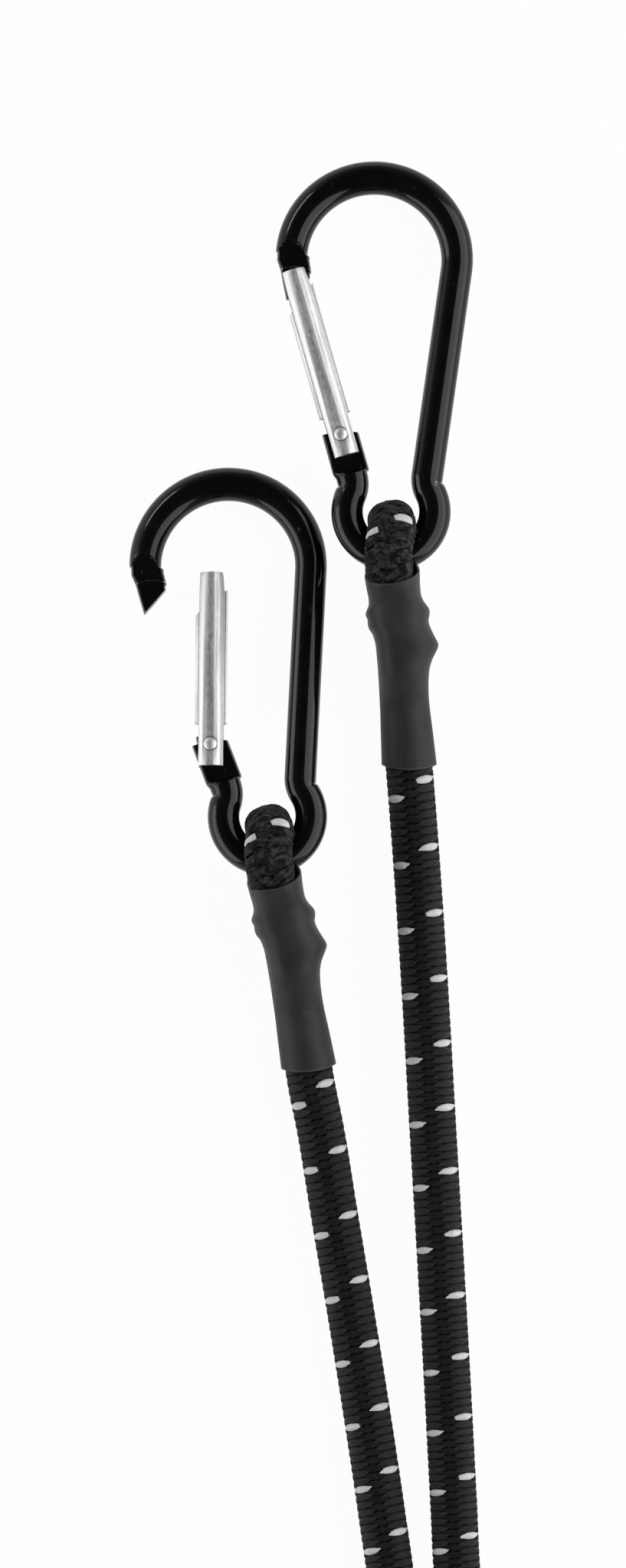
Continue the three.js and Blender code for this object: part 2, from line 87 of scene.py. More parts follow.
# Sleeve sections below the bar, in mm: distance, left and right half width, lowest, highest, squareness
SLEEVE_SECTIONS = (
    (3.65, 5.35, 5.3, -11.6, 10.5, 3.0),
    (6.0, 5.2, 5.1, -11.6, 10.0, 3.0),
    (8.2, 4.95, 5.1, -11.9, 8.6, 2.9),
    (9.4, 5.1, 5.6, -12.5, 7.2, 2.8),
    (10.4, 5.75, 6.3, -12.9, 6.6, 2.8),
    (11.1, 5.95, 6.5, -13.0, 6.45, 2.8),
    (11.9, 5.55, 6.35, -13.0, 6.4, 2.8),
    (12.8, 5.7, 6.0, -13.0, 6.4, 2.8),
    (13.8, 5.55, 6.1, -13.0, 6.4, 2.8),
    (14.8, 4.95, 6.4, -12.8, 6.2, 2.8),
    (16.4, 4.65, 7.0, -12.2, 5.7, 2.8),
    (17.4, 4.6, 7.45, -11.8, 5.4, 2.7),
    (18.2, 4.6, 7.35, -11.6, 5.2, 2.7),
    (19.4, 4.6, 6.6, -11.6, 5.0, 2.7),
    (20.8, 4.6, 5.75, -11.6, 4.8, 2.6),
    (22.6, 4.65, 5.15, -11.6, 4.4, 2.5),
    (25.0, 4.7, 4.85, -11.7, 2.4, 2.2),
    (27.6, 4.75, 4.75, -11.8, -0.6, 2.0),
    (30.0, 4.8, 4.8, -11.85, -2.1, 2.0),
    (34.0, 5.0, 5.05, -12.1, -2.2, 2.0),
    (40.5, 5.25, 5.35, -12.4, -1.9, 2.0),
)
# Rings of the sleeve: the first, the last and how many, closest over the crimp's lumps
SLEEVE_RINGS = ((3.65, 10, 10), (10, 20.5, 26), (20.5, 30, 12), (30, 39.7, 8), (40.5, 40.5, 1))
# How far aside the sleeve stands at each distance
SLEEVE_SHIFT = ((3.65, -0.6), (8, -0.5), (12, -0.35), (17, -0.15), (24, 0))
SLEEVE_SIDES = 48
# Its mouth and its foot: the rim, and where the rim's bow has died out
SLEEVE_MOUTH, SLEEVE_THROAT = 3.65, 7
SLEEVE_FOOT, SLEEVE_ANKLE = 40.5, 36
# How far the mouth stands up on its right, down all round, down in front and up behind
MOUTH_RIGHT, MOUTH_DOWN, MOUTH_FRONT, MOUTH_BACK = 0.75, 0.3, 1.7, 3.0
# How far the foot stands up on its left and down in front
FOOT_LEFT, FOOT_FRONT = 0.35, 1.1
FRONT_POWER = 1.4

# The fold along its end, in mm: its leg behind and its leg in front, each with the sleeve's grip
BACK_LEG = ((-38, 1), (-33, 1), (-28, 1), (-23, 1), (-18, 1), (-13, 1), (-10.5, 1), (-6, 0.44), (-2.5, 0))
FRONT_LEG = ((-2.5, 0), (-4.5, 0.25), (-6.5, 0.5), (-8.5, 0.75), (-10.5, 1), (-16, 1), (-22, 1))
FRONT_DROP = 5.55 * MM
BEND_STEPS = 14
# How far aside the fold lies at each place along its end
FOLD_SHIFT = ((-38, 0), (-25, -0.1), (-10, -0.4), (-7.5, -0.65), (-4.5, -1.15), (1, -1.05), (5, 0.0))
# Half sizes of the fold outwards, towards the bar and sideways, and what the sleeve's grip adds to them
FOLD_HALVES = ((4.93, -1.23), (2.75, 0.95), (5.05, -1.1))
FOLD_CLEARANCE = 0.3 * MM
FOLD_LEAD = 9.9 * MM
FOLD_COLUMN = math.radians(53)
# Where the tracer comes up on the bend, in degrees from its back
FOLD_FLECK = 133

# The braid of the free cord: how far its crests and its middle line rise over the plain tube's
BRAID_RISE = 0.38 * MM
LINE_RISE = 0.15 * MM
# Where its two runs meet, and how many points of its line make a step of its path
RUNS_MEET_Y = -0.193
# Its lead starts to change below each sleeve, and fades over this length
LEAD_START, LEAD_FADE = 5 * MM, 150 * MM
# Its columns hold their places next to the sleeves, and turn from one to the other between
COLUMN_HOLD = 160 * MM
RIGHT_COLUMN, LEFT_COLUMN = math.radians(49), math.radians(41)
# Where the first fleck of the tracer shows below each sleeve
RIGHT_FLECK, LEFT_FLECK = 4.75 * MM, 5.4 * MM

# The stage: half the surface's width, how much it glows, and the middle of the view
SURFACE_HALF = 6
SURFACE_GLOW = 0.965
VIEW_MIDDLE = (2.25 * MM, -31.8 * MM)
CORD_MIDDLE = 5 * MM
SENSOR_WIDTH = 36
# Each light's place, size and strength, and the point that all of them face
LIGHT_AIM = Vector((0.0, 0.0, 0.01))
LIGHTS = (
    ("right_softbox", (0.55, 0.0, 0.36), (1.3, 0.72), 6.8),
    ("left_softbox", (-0.6, -0.2, 0.2), (0.9, 0.4), 2.7),
    ("left_strip", (-0.44, 0.49, 0.291), (0.28, 0.03), 0.7),
)


class HookSizes(PropertyGroup):
    bar_diameter: FloatProperty(
        name="Bar", description="Thickness of the bent bar", default=6.1 * MM, unit="LENGTH")
    eye_radius: FloatProperty(
        name="Eye", description="Radius of the eye's middle line", default=8.4 * MM, unit="LENGTH")
    arch_radius: FloatProperty(
        name="Arch", description="Radius of the arch's middle line", default=15.9 * MM, unit="LENGTH")
    neck_radius: FloatProperty(
        name="Neck", description="Radius of the bends above the eye", default=5.5 * MM, unit="LENGTH")
    blade_thickness: FloatProperty(
        name="Blade", description="Thickness of the pressed ends", default=2.9 * MM, unit="LENGTH")
    nose_thickness: FloatProperty(
        name="Nose", description="Thickness of the pressed nose above its blade",
        default=3.2 * MM, unit="LENGTH")
    coating: FloatVectorProperty(
        name="Coating", description="Colour of the black coating", subtype="COLOR", size=3,
        default=(0.002, 0.002, 0.0021), min=0, max=1)
    bare: FloatVectorProperty(
        name="Bare metal", description="Colour where the coating is worn off", subtype="COLOR", size=3,
        default=(0.3, 0.3, 0.295), min=0, max=1)


class GateSizes(PropertyGroup):
    width: FloatProperty(
        name="Width", description="Width of the gate over its side ribs", default=6.1 * MM, unit="LENGTH")
    above: FloatProperty(
        name="Above rivet", description="Length above the rivet", default=33.3 * MM, unit="LENGTH")
    below: FloatProperty(
        name="Below rivet", description="Length below the rivet", default=4.1 * MM, unit="LENGTH")
    slot: FloatProperty(
        name="Slot", description="Width of the end slots", default=3.3 * MM, unit="LENGTH")
    rivet_head: FloatProperty(
        name="Rivet head", description="Width of the rivet's heads", default=2.65 * MM, unit="LENGTH")
    metal: FloatVectorProperty(
        name="Metal", description="Colour of the bright gate", subtype="COLOR", size=3,
        default=(0.68, 0.68, 0.67), min=0, max=1)
    rivet_metal: FloatVectorProperty(
        name="Rivet", description="Colour of the polished rivet", subtype="COLOR", size=3,
        default=(0.66, 0.66, 0.65), min=0, max=1)


class CordSizes(PropertyGroup):
    diameter: FloatProperty(
        name="Diameter", description="Thickness of the cord", default=9 * MM, unit="LENGTH")
    carriers: IntProperty(
        name="Yarns each way", description="Yarns wound in each direction", default=8, min=2)
    lead_at_sleeve: FloatProperty(
        name="Lead at sleeves", description="Length of a yarn's turn near the sleeves",
        default=13 * MM, unit="LENGTH")
    lead_at_bend: FloatProperty(
        name="Lead at bend", description="Length of a yarn's turn near the cord's bend",
        default=11.2 * MM, unit="LENGTH")
    yarn_width: FloatProperty(
        name="Yarn width", description="Width of a flat yarn", default=1.62 * MM, unit="LENGTH")
    yarn_height: FloatProperty(
        name="Yarn height", description="Thickness of a flat yarn", default=0.84 * MM, unit="LENGTH")
    lift: FloatProperty(
        name="Lift", description="How far a yarn rises over those it crosses",
        default=0.26 * MM, unit="LENGTH")
    ground_height: FloatProperty(
        name="Ground height", description="Thickness of a yarn of the lower family",
        default=0.6 * MM, unit="LENGTH")
    proud: FloatProperty(
        name="Proud", description="How far the tracer's family stands over the other",
        default=0.09 * MM, unit="LENGTH")
    float_reach: FloatProperty(
        name="Float reach", description="How much further round a yarn runs where it lies on top",
        default=0.6, min=0, max=1)
    float_level: FloatProperty(
        name="Float level", description="How far a yarn runs straight across where it lies on top",
        default=0.9, min=0, max=1)
    yarn: FloatVectorProperty(
        name="Yarn", description="Colour of the black yarns", subtype="COLOR", size=3,
        default=(0.011, 0.011, 0.011), min=0, max=1)
    # Painted shade: the lower yarns are the black yarn made darker, and the tube under the yarns takes the
    # same colour
    ground: FloatVectorProperty(
        name="Ground yarn", description="Colour of the lower black yarns", subtype="COLOR", size=3,
        default=(0.007, 0.007, 0.007), min=0, max=1)
    tracer: FloatVectorProperty(
        name="Tracer", description="Colour of the light yarn", subtype="COLOR", size=3,
        default=(0.6, 0.6, 0.585), min=0, max=1)


class SleeveSizes(PropertyGroup):
    wall: FloatProperty(
        name="Wall", description="Thickness of the shrunk tube", default=0.4 * MM, unit="LENGTH")
    color: FloatVectorProperty(
        name="Colour", description="Colour of the shrunk tube", subtype="COLOR", size=3,
        default=(0.019, 0.019, 0.0185), min=0, max=1)


class StageLook(PropertyGroup):
    camera_height: FloatProperty(
        name="Camera height", description="Height of the camera over the cord", default=3.0, unit="LENGTH")
    view_height: FloatProperty(
        name="View height", description="Length of surface that the view takes in",
        default=0.30105, unit="LENGTH")
    floor: FloatVectorProperty(
        name="Surface", description="Colour of the surface", subtype="COLOR", size=3,
        default=(0.9, 0.9, 0.9), min=0, max=1)


def end_matrix(side):
    across, along, turn, _ = END_PLACE[side]
    return Matrix.Translation((across, along, BAR_LEVEL)) @ Matrix.Rotation(turn, 4, "Z")


def hook_matrix(side, hook):
    bar = hook.bar_diameter / 2
    tilt = -math.asin((BAR_LEVEL - bar) / ARCH_TOP)
    eye = Matrix.Translation((0, hook.eye_radius, 0))
    turned = eye @ Matrix.Rotation(HOOK_TURN, 4, "Z") @ eye.inverted()
    return end_matrix(side) @ Matrix.Rotation(tilt, 4, "X") @ turned


# Places in the hook's own plane
PIVOT = Vector((-9.6 * MM, 23.1 * MM, 0))
GATE_LEAN = math.radians(15.1)
GATE_UP = Vector((-math.sin(GATE_LEAN), math.cos(GATE_LEAN), 0))
GATE_IN = Vector((math.cos(GATE_LEAN), math.sin(GATE_LEAN), 0))
ARCH_MIDDLE = Vector((-3.2 * MM, 57.4 * MM, 0))
ARCH_TOP = 72.8 * MM
SPINE_LEAN = math.radians(8.01)
FLAT = Vector((0, 0, 1))
# The rivets' play lets each gate hang a little off its true line
GATE_PLAY = {"left": math.radians(0.6), "right": math.radians(-0.8)}

# The bar's sides, and its steps over the nose, the arch, the spine, each neck and the eye
BAR_SIDES = 64
NOSE_STEPS, ARCH_STEPS, SPINE_STEPS, NECK_STEPS, EYE_STEPS = 30, 92, 10, 20, 56
HOOK_SHARP = math.radians(32)
# How far the nose reaches round the arch, and the lean of its ledge over the gate
NOSE_ARC = math.radians(16)
LEDGE_LEAN = math.radians(-17)
# Half the tang's thickness where its step begins
TANG_STEP = 2.3 * MM
# The nose: how far its pressed slope reaches at the middle and falls back at the sides, and how steep it is
NOSE_REACH = 3.5 * MM
NOSE_CURVE = 2.2 * MM
NOSE_SLOPE = 0.12
NOSE_EDGE = 0.3 * MM
# What the nose loses outside and the bar gains inside, next to the gate
NOSE_INSET, NOSE_INSET_END = 0.3 * MM, 1.1 * MM
NOSE_SWELL, NOSE_SWELL_START, NOSE_SWELL_FADE = 0.45 * MM, 0.5 * MM, 0.7 * MM
NOSE_BOW = 0.6 * MM
CROWN_SWELL = 0.06
ARCH_FOOT = -0.1 * MM
# A neck's notch: its depth, and where its corner lies along the bend
NOTCH_DEPTH = 0.45 * MM
NOTCH_CORNER = 0.6
NOTCH_MARGIN = 0.02
# How worn a notch is, between two shares of its bend and from how far inside the bar
NOTCH_WEAR = 0.74
WORN_FROM, WORN_TO, WORN_INSIDE = 0.5, 0.9, 0.35

# The gate's free end is drawn in: over what length, and how much outside, inside and in thickness
GATE_TAPER, TAPER_STEPS, TAPER_POWER = 4.5 * MM, 5, 1.4
DRAWN_OUTER, DRAWN_INNER, DRAWN_THICK = 0.06, 0.1, 0.03
# Its slots' floors, and how far the cutters reach past it
LOWER_FLOOR = 4.16 * MM
LOWER_PAST, LOWER_WIDE = 5 * MM, 20 * MM
UPPER_FLOOR, UPPER_SLOPE = 8.2 * MM, 5.0 * MM
UPPER_PAST = 8 * MM
# The rivet's seats, and the gate's edges
SEAT_LEVEL, SEAT_DEPTH, SEAT_PLAY = 4.3 * MM, 3.3 * MM, 0.14 * MM
TURNED_SIDES = 40
GATE_EASE, EASED_FROM, GATE_SHARP = 0.1 * MM, math.radians(70), math.radians(40)
SHOULDER = Vector((2.35 * MM, 1.72 * MM))
# On the right and on the left: the rib's and the groove's points in mm, and the edge of the crown
RIBS = (
    (((3.05, 0.92), (2.7, 1.14), (2.66, 1.2), (2.5, 1.6)), 2.35),
    (((3.05, 0.92), (2.48, 1.18), (2.44, 1.28), (2.34, 1.66)), 2.24),
)
CROWN_STEPS = 9
# Half a rivet's outline, in mm, for a head of this half width
RIVET_HALF = 1.3
RIVET_OUTLINE = (
    (0, 3.44), (0.45, 3.41), (0.85, 3.28), (1.12, 3.08), (1.26, 2.9), (1.3, 2.8), (1.3, 2.68), (0.95, 2.66),
)
# Painted reflections across the gate's crown as grey bands, place in mm and level, darker where the crown
# faces up and lighter where it faces a lamp; and the dark lines of painted shade beside its ribs
PAINTED_REFLECTIONS = ((-1.6, 0.65), (-0.8, 0.9), (-0.4, 0.4), (0.5, 0.3), (0.7, 1.0), (1.5, 1.0), (1.75, 0.5))
REFLECTION_BAND_WIDTH = 6.2
# Painted shade: where each rib meets the crown, and how wide the dark line is on each side
RIGHT_RIB_SHADE, LEFT_RIB_SHADE, RIB_SHADE_HALF = 2.68 * MM, 2.46 * MM, 0.05 * MM


def gate_matrix(side, hook):
    opened = END_PLACE[side][3] + GATE_PLAY[side]
    turned = Matrix.Rotation(GATE_LEAN - opened, 4, "Z")
    return hook_matrix(side, hook) @ Matrix.Translation(PIVOT) @ turned


def beside_gate(along, inward):
    return PIVOT + GATE_UP * along * MM + GATE_IN * inward * MM


def make_object(name, bm):
    mesh = bpy.data.meshes.new(name)
    bm.to_mesh(mesh)
    bm.free()
    made = bpy.data.objects.new(name, mesh)
    bpy.context.scene.collection.objects.link(made)
    return made


def finish_piece(name, bm, materials, body, nodes):
    """Make an object of a bmesh, with its materials, its body and the nodes it stands for."""
    piece = make_object(name, bm)
    for material in materials:
        piece.data.materials.append(material)
    if body:
        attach(piece, body)
    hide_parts(*nodes)
    return piece


def smooth(bm):
    for face in bm.faces:
        face.smooth = True


def extrude(bm, edges):
    """Draw a loop of edges out, and give its new points and its new edges."""
    made = bmesh.ops.extrude_edge_only(bm, edges=edges)["geom"]
    verts = {item for item in made if isinstance(item, bmesh.types.BMVert)}
    ends = [item for item in made if isinstance(item, bmesh.types.BMEdge) and verts.issuperset(item.verts)]
    return verts, ends


def ease(share):
    return share * share * (3 - 2 * share)


class Nodes:
    """Short calls to add nodes to a tree."""

    def __init__(self, tree):
        self.tree = tree

    def node(self, kind, **settings):
        node = self.tree.nodes.new(kind)
        for key, value in settings.items():
            if key in node.inputs:
                node.inputs[key].default_value = value
            else:
                setattr(node, key, value)
        return node

    def link(self, source, target):
        self.tree.links.new(source, target)

    def feed(self, value, socket):
        """Link a socket to another one, or set it to a plain value."""
        if isinstance(value, bpy.types.NodeSocket):
            self.link(value, socket)
        else:
            socket.default_value = value

    def math(self, operation, first, second):
        node = self.node("ShaderNodeMath", operation=operation)
        self.feed(first, node.inputs[0])
        self.feed(second, node.inputs[1])
        return node.outputs["Value"]


class Finish(Nodes):
    """A material with a principled shader, and short calls for what its looks are made of."""

    def __init__(self, name, color, roughness, metallic=0.0):
        self.material = bpy.data.materials.new(name)
        self.material.use_nodes = True
        super().__init__(self.material.node_tree)
        self.shader = self.tree.nodes["Principled BSDF"]
        self.set("Base Color", (*color, 1.0))
        self.set("Roughness", roughness)
        self.set("Metallic", metallic)

    def set(self, socket, value):
        self.shader.inputs[socket].default_value = value

    def place(self, source, scale):
        """Coordinates from a socket, stretched."""
        mapping = self.node("ShaderNodeMapping", Scale=scale)
        self.link(source, mapping.inputs["Vector"])
        return mapping.outputs["Vector"]

    def object_place(self, scale=(1, 1, 1)):
        return self.place(self.node("ShaderNodeTexCoord").outputs["Object"], scale)

    def attribute(self, name):
        return self.node("ShaderNodeAttribute", attribute_name=name)

    def noise(self, vector, scale, detail, roughness):
        noise = self.node("ShaderNodeTexNoise", Scale=scale, Detail=detail, Roughness=roughness)
        self.link(vector, noise.inputs["Vector"])
        return noise.outputs["Fac"]

    def ramp(self, source, low, high, first, last):
        """Map a value between two positions to two grey levels or colours."""
        ramp = self.node("ShaderNodeValToRGB")
        for end, position, value in zip(ramp.color_ramp.elements, (low, high), (first, last)):
            end.position = position
            end.color = value if isinstance(value, tuple) else (value, value, value, 1)
        self.link(source, ramp.inputs["Fac"])
        return ramp.outputs["Color"]

    def mix(self, factor, first, last):
        """Mix two colours; a colour node's sockets are known by number."""
        mix = self.node("ShaderNodeMix", data_type="RGBA")
        self.link(factor, mix.inputs["Factor"])
        self.feed(first, mix.inputs[6])
        self.feed(last, mix.inputs[7])
        return mix.outputs[2]

    def drive(self, source, socket):
        self.link(source, self.shader.inputs[socket])

    def bump(self, height, strength, distance):
        bump = self.node("ShaderNodeBump", Strength=strength, Distance=distance)
        self.link(height, bump.inputs["Height"])
        self.drive(bump.outputs["Normal"], "Normal")


def shade(color, factor):
    return (*(min(1.0, channel * factor) for channel in color), 1.0)


def coating_finish(hook):
    """Glossy black coating, with fine dimples, specks, scratches and bare creases."""
    finish = Finish("black_coating", hook.coating, 0.2)
    finish.set("Specular IOR Level", 0.28)
    place = finish.object_place()
    rub = finish.noise(place, 240, 4, 0.6)
    crease = finish.attribute("crease").outputs["Fac"]
    chips = finish.noise(place, 3200, 3, 0.75)
    worn = finish.math("GREATER_THAN", finish.math("MULTIPLY", crease, chips), 0.44)
    dark = finish.ramp(rub, 0.35, 0.75, shade(hook.coating, 0.8), shade(hook.coating, 1.8))
    specks = finish.ramp(finish.noise(place, 760, 2, 0.5), 0.735, 0.76, 0.0, 1.0)
    drawn = finish.noise(finish.object_place((2600, 260, 2600)), 1, 2, 0.5)
    scratches = finish.ramp(drawn, 0.73, 0.76, 0.0, 1.0)
    marked = finish.math("MULTIPLY", finish.math("MAXIMUM", specks, scratches), 0.4)
    dark = finish.mix(marked, dark, shade(hook.bare, 0.3))
    finish.drive(finish.mix(worn, dark, shade(hook.bare, 1.0)), "Base Color")
    finish.drive(worn, "Metallic")
    finish.drive(finish.ramp(rub, 0.3, 0.8, 0.1, 0.15), "Roughness")
    finish.bump(finish.noise(place, 160, 1, 0.4), 0.03, 0.3 * MM)
    return finish.material


def gate_finish(gate):
    """Bright drawn metal, streaked along the gate, with painted reflections in grey bands across it and
    painted shade beside its ribs.
    """
    finish = Finish("bright_gate", gate.metal, 0.3, 1.0)
    along = finish.attribute("gate_place").outputs["Vector"]
    streaks = finish.noise(finish.place(along, (1600, 45, 1600)), 1, 4, 0.6)
    patches = finish.noise(finish.place(along, (420, 60, 420)), 1, 3, 0.6)
    grain = finish.noise(finish.place(along, (3800, 1100, 3800)), 1, 2, 0.6)
    tone = finish.ramp(patches, 0.3, 0.7, shade(gate.metal, 0.86), shade(gate.metal, 1.14))
    dull = finish.ramp(streaks, 0.36, 0.6, 0.0, 1.0)
    bright = finish.mix(dull, shade(gate.metal, 0.68), tone)
    split = finish.node("ShaderNodeSeparateXYZ")
    finish.link(along, split.inputs["Vector"])
    # Painted reflections: grey bands across the crown, darker where it faces up and lighter where it faces
    # a lamp
    aside = finish.math("ADD", finish.math("DIVIDE", split.outputs["X"], REFLECTION_BAND_WIDTH * MM), 0.5)
    drawn = finish.node("ShaderNodeValToRGB")
    bands = drawn.color_ramp.elements
    for place, value in PAINTED_REFLECTIONS:
        bands.new(place / REFLECTION_BAND_WIDTH + 0.5).color = (value, value, value, 1)
    bands[0].color = (0.7, 0.7, 0.7, 1)
    bands[-1].color = (0.6, 0.6, 0.6, 1)
    finish.link(aside, drawn.inputs["Fac"])
    # The painted reflection bands, with the metal's real grain added
    reflections_and_grain = finish.math("ADD", drawn.outputs["Color"], finish.ramp(grain, 0.3, 0.7, 0.0, 0.35))
    lit = finish.mix(dull, bright, shade(gate.metal, 1.05))
    metal_with_reflections = finish.mix(reflections_and_grain, shade(gate.metal, 0.42), lit)
    # Painted shade: a thin dark line where each rib meets the crown
    right_rib_shade = finish.math("ABSOLUTE", finish.math("SUBTRACT", split.outputs["X"], RIGHT_RIB_SHADE), 0.0)
    left_rib_shade = finish.math("ABSOLUTE", finish.math("ADD", split.outputs["X"], LEFT_RIB_SHADE), 0.0)
    rib_shade = finish.math("LESS_THAN", finish.math("MINIMUM", right_rib_shade, left_rib_shade), RIB_SHADE_HALF)
    finish.drive(finish.mix(rib_shade, metal_with_reflections, shade(gate.metal, 0.2)), "Base Color")
    finish.drive(finish.ramp(grain, 0.25, 0.8, 0.44, 0.66), "Roughness")
    finish.bump(finish.math("ADD", streaks, finish.math("MULTIPLY", grain, 0.6)), 0.22, 0.03 * MM)
    return finish.material


def rivet_finish(gate):
    """Polished metal with fine turning marks."""
    finish = Finish("polished_rivet", gate.rivet_metal, 0.36, 1.0)
    marks = finish.noise(finish.object_place(), 2600, 3, 0.6)
    tone = finish.ramp(marks, 0.2, 0.85, shade(gate.rivet_metal, 0.8), shade(gate.rivet_metal, 1.1))
    finish.drive(tone, "Base Color")
    finish.drive(finish.ramp(marks, 0.3, 0.75, 0.46, 0.6), "Roughness")
    finish.bump(marks, 0.1, 0.02 * MM)
    return finish.material


def yarn_finish(name, color, spread, sheen, gloss, low=0.1, high=0.45):
    """Twisted filaments that run along each yarn, with a soft sheen."""
    finish = Finish(name, color, 0.8)
    finish.set("Sheen Weight", sheen)
    finish.set("Sheen Roughness", 0.45)
    finish.set("Specular IOR Level", gloss)
    across = finish.node("ShaderNodeUVMap", uv_map="yarn").outputs["UV"]
    strands = finish.noise(finish.place(across, (900, 26, 1)), 1, 2, 0.5)
    place = finish.object_place()
    fluff = finish.noise(place, 1300, 3, 0.6)
    patch = finish.noise(place, 620, 2, 0.5)
    tone = finish.math("MULTIPLY", strands, fluff)
    tone = finish.math("MULTIPLY", tone, finish.math("MULTIPLY", patch, 2.0))
    dark = shade(color, max(0.0, 1 - spread))
    finish.drive(finish.ramp(tone, low, high, dark, shade(color, 1 + spread)), "Base Color")
    finish.drive(finish.ramp(fluff, 0.3, 0.7, 0.66, 0.92), "Roughness")
    finish.bump(finish.math("ADD", strands, finish.math("MULTIPLY", fluff, 0.5)), 0.5, 0.12 * MM)
    return finish.material


def sleeve_finish(sleeve):
    """Matte shrunk tube with a fine grain, faint flow lines and a painted highlight along its rims."""
    finish = Finish("shrunk_sleeve", sleeve.color, 0.55)
    finish.set("Specular IOR Level", 0.25)
    place = finish.object_place()
    cloud = finish.noise(place, 130, 3, 0.5)
    grain = finish.noise(place, 2600, 3, 0.6)
    flow = finish.noise(finish.object_place((900, 70, 900)), 1, 3, 0.5)
    tone = finish.math("ADD", finish.math("MULTIPLY", cloud, 0.7), finish.math("MULTIPLY", flow, 0.3))
    body = finish.ramp(tone, 0.3, 0.7, shade(sleeve.color, 0.65), shade(sleeve.color, 1.3))
    # Painted highlight: the end rings are made paler than the rest of the tube
    edge = finish.ramp(finish.attribute("rim").outputs["Fac"], 0.5, 0.95, 0.0, 0.75)
    finish.drive(finish.mix(edge, body, shade(sleeve.color, 3.2)), "Base Color")
    finish.drive(finish.ramp(grain, 0.25, 0.75, 0.48, 0.66), "Roughness")
    finish.bump(finish.math("ADD", grain, finish.math("MULTIPLY", flow, 0.7)), 0.18, 0.05 * MM)
    return finish.material


def wire_finish():
    """Plain drawn wire."""
    finish = Finish("plain_wire", (0.36, 0.37, 0.38), 0.35, 1.0)
    marks = finish.noise(finish.object_place(), 1800, 3, 0.6)
    finish.drive(finish.ramp(marks, 0.3, 0.7, 0.26, 0.46), "Roughness")
    finish.drive(finish.ramp(marks, 0.2, 0.8, (0.28, 0.29, 0.3, 1), (0.46, 0.47, 0.48, 1)), "Base Color")
    return finish.material


def between(t, start, end, first, last):
    """The value at t on the straight line from first at start to last at end."""
    return (end - t) / (end - start) * first + (t - start) / (end - start) * last


def distances(points):
    """How far along a line of points each of them lies."""
    return np.concatenate([[0], np.cumsum(np.linalg.norm(np.diff(points, axis=0), axis=1))])


def cord_line(points, spacing):
    """A smooth line through points, at even steps."""
    points = np.array(points, float)
    before, after = 2 * points[0] - points[1], 2 * points[-1] - points[-2]
    points = np.vstack([before, points, after])
    knots = np.concatenate([[0], np.cumsum(np.linalg.norm(np.diff(points, axis=0), axis=1) ** 0.5)])
    dense = []
    for index in range(1, len(points) - 2):
        t0, t1, t2, t3 = knots[index - 1:index + 3]
        p0, p1, p2, p3 = points[index - 1:index + 3]
        t = np.linspace(t1, t2, 60, endpoint=False)[:, None]
        middle = between(t, t1, t2, p1, p2)
        first = between(t, t0, t2, between(t, t0, t1, p0, p1), middle)
        last = between(t, t1, t3, middle, between(t, t2, t3, p2, p3))
        dense.append(between(t, t1, t2, first, last))
    line = np.vstack([*dense, points[-2][None]])
    lengths = distances(line)
    steps = max(2, round(lengths[-1] / spacing))
    even = np.linspace(0, lengths[-1], steps + 1)
    return even, np.column_stack([np.interp(even, lengths, line[:, axis]) for axis in range(3)])


def unit(vectors):
    return vectors / np.linalg.norm(vectors, axis=1)[:, None]


class Lay(NamedTuple):
    """How a braid's yarns lie, and which of their faces are light.

    level and relief are shares of the yarns' float and thickness, and taper is the power by which their
    width fades. A face of the tracer is light once it is as far up as shows says. lower is the material of
    the lower yarns; on the free cord it is the darker copy of the black, which is painted shade.
    """
    level: float
    relief: float
    taper: float
    shows: np.ndarray
    lower: int


# A flat yarn's section is rounded on top, with a single point below
YARN_SECTION = np.radians((0, 40, 90, 140, 180, 270))
# The share of an over and under between two rows of a yarn
YARN_TURN = 2 * math.pi / 11
# A yarn's least width, under another one, and what it gains on top; and how far a bend may change it
YARN_LEAST, YARN_GAIN = 0.18, 0.82
YARN_SPREAD = (0.7, 1.6)
# On the free cord the tracer's crest shows first, so that a fleck ends in a point; its lower yarns take the
# darker copy of the black, as painted shade
FREE_LAY = Lay(1.0, 1.0, 0.75, np.array((0.5, 0.05, 0.05, 0.5, 0.5, 0.5)), 2)
FOLDED_LAY = Lay(0.45, 0.65, 0.45, np.full(len(YARN_SECTION), 0.5), 0)
LINE_STEP = 0.1 * MM
# The plain tube under the yarns: its sides, its steps along the line, and its depth as a share of the lift
TUBE_SIDES = 16
TUBE_STEP = 12
TUBE_DEPTH = 0.6


def wind(bm, rows, materials, uv):
    """One closed strip through rows of points, from a grid whose long edges are welded later."""
    count, around = rows.shape[:2]
    grid = bmesh.ops.create_grid(bm, x_segments=count - 1, y_segments=around, size=1, calc_uvs=True)
    made = grid["verts"]
    for face in {face for vert in made for face in vert.link_faces}:
        centre = face.calc_center_median()
        step = int((centre.x + 1) / 2 * (count - 1))
        side = int((centre.y + 1) / 2 * around)
        face.material_index = int(materials[step, side])
        face.smooth = True
    for vert in made:
        step = round((vert.co.x + 1) / 2 * (count - 1))
        side = round((vert.co.y + 1) / 2 * around)
        for loop in vert.link_loops:
            loop[uv].uv = (side / around, step / (count - 1))
        vert.co = rows[step, side % around]


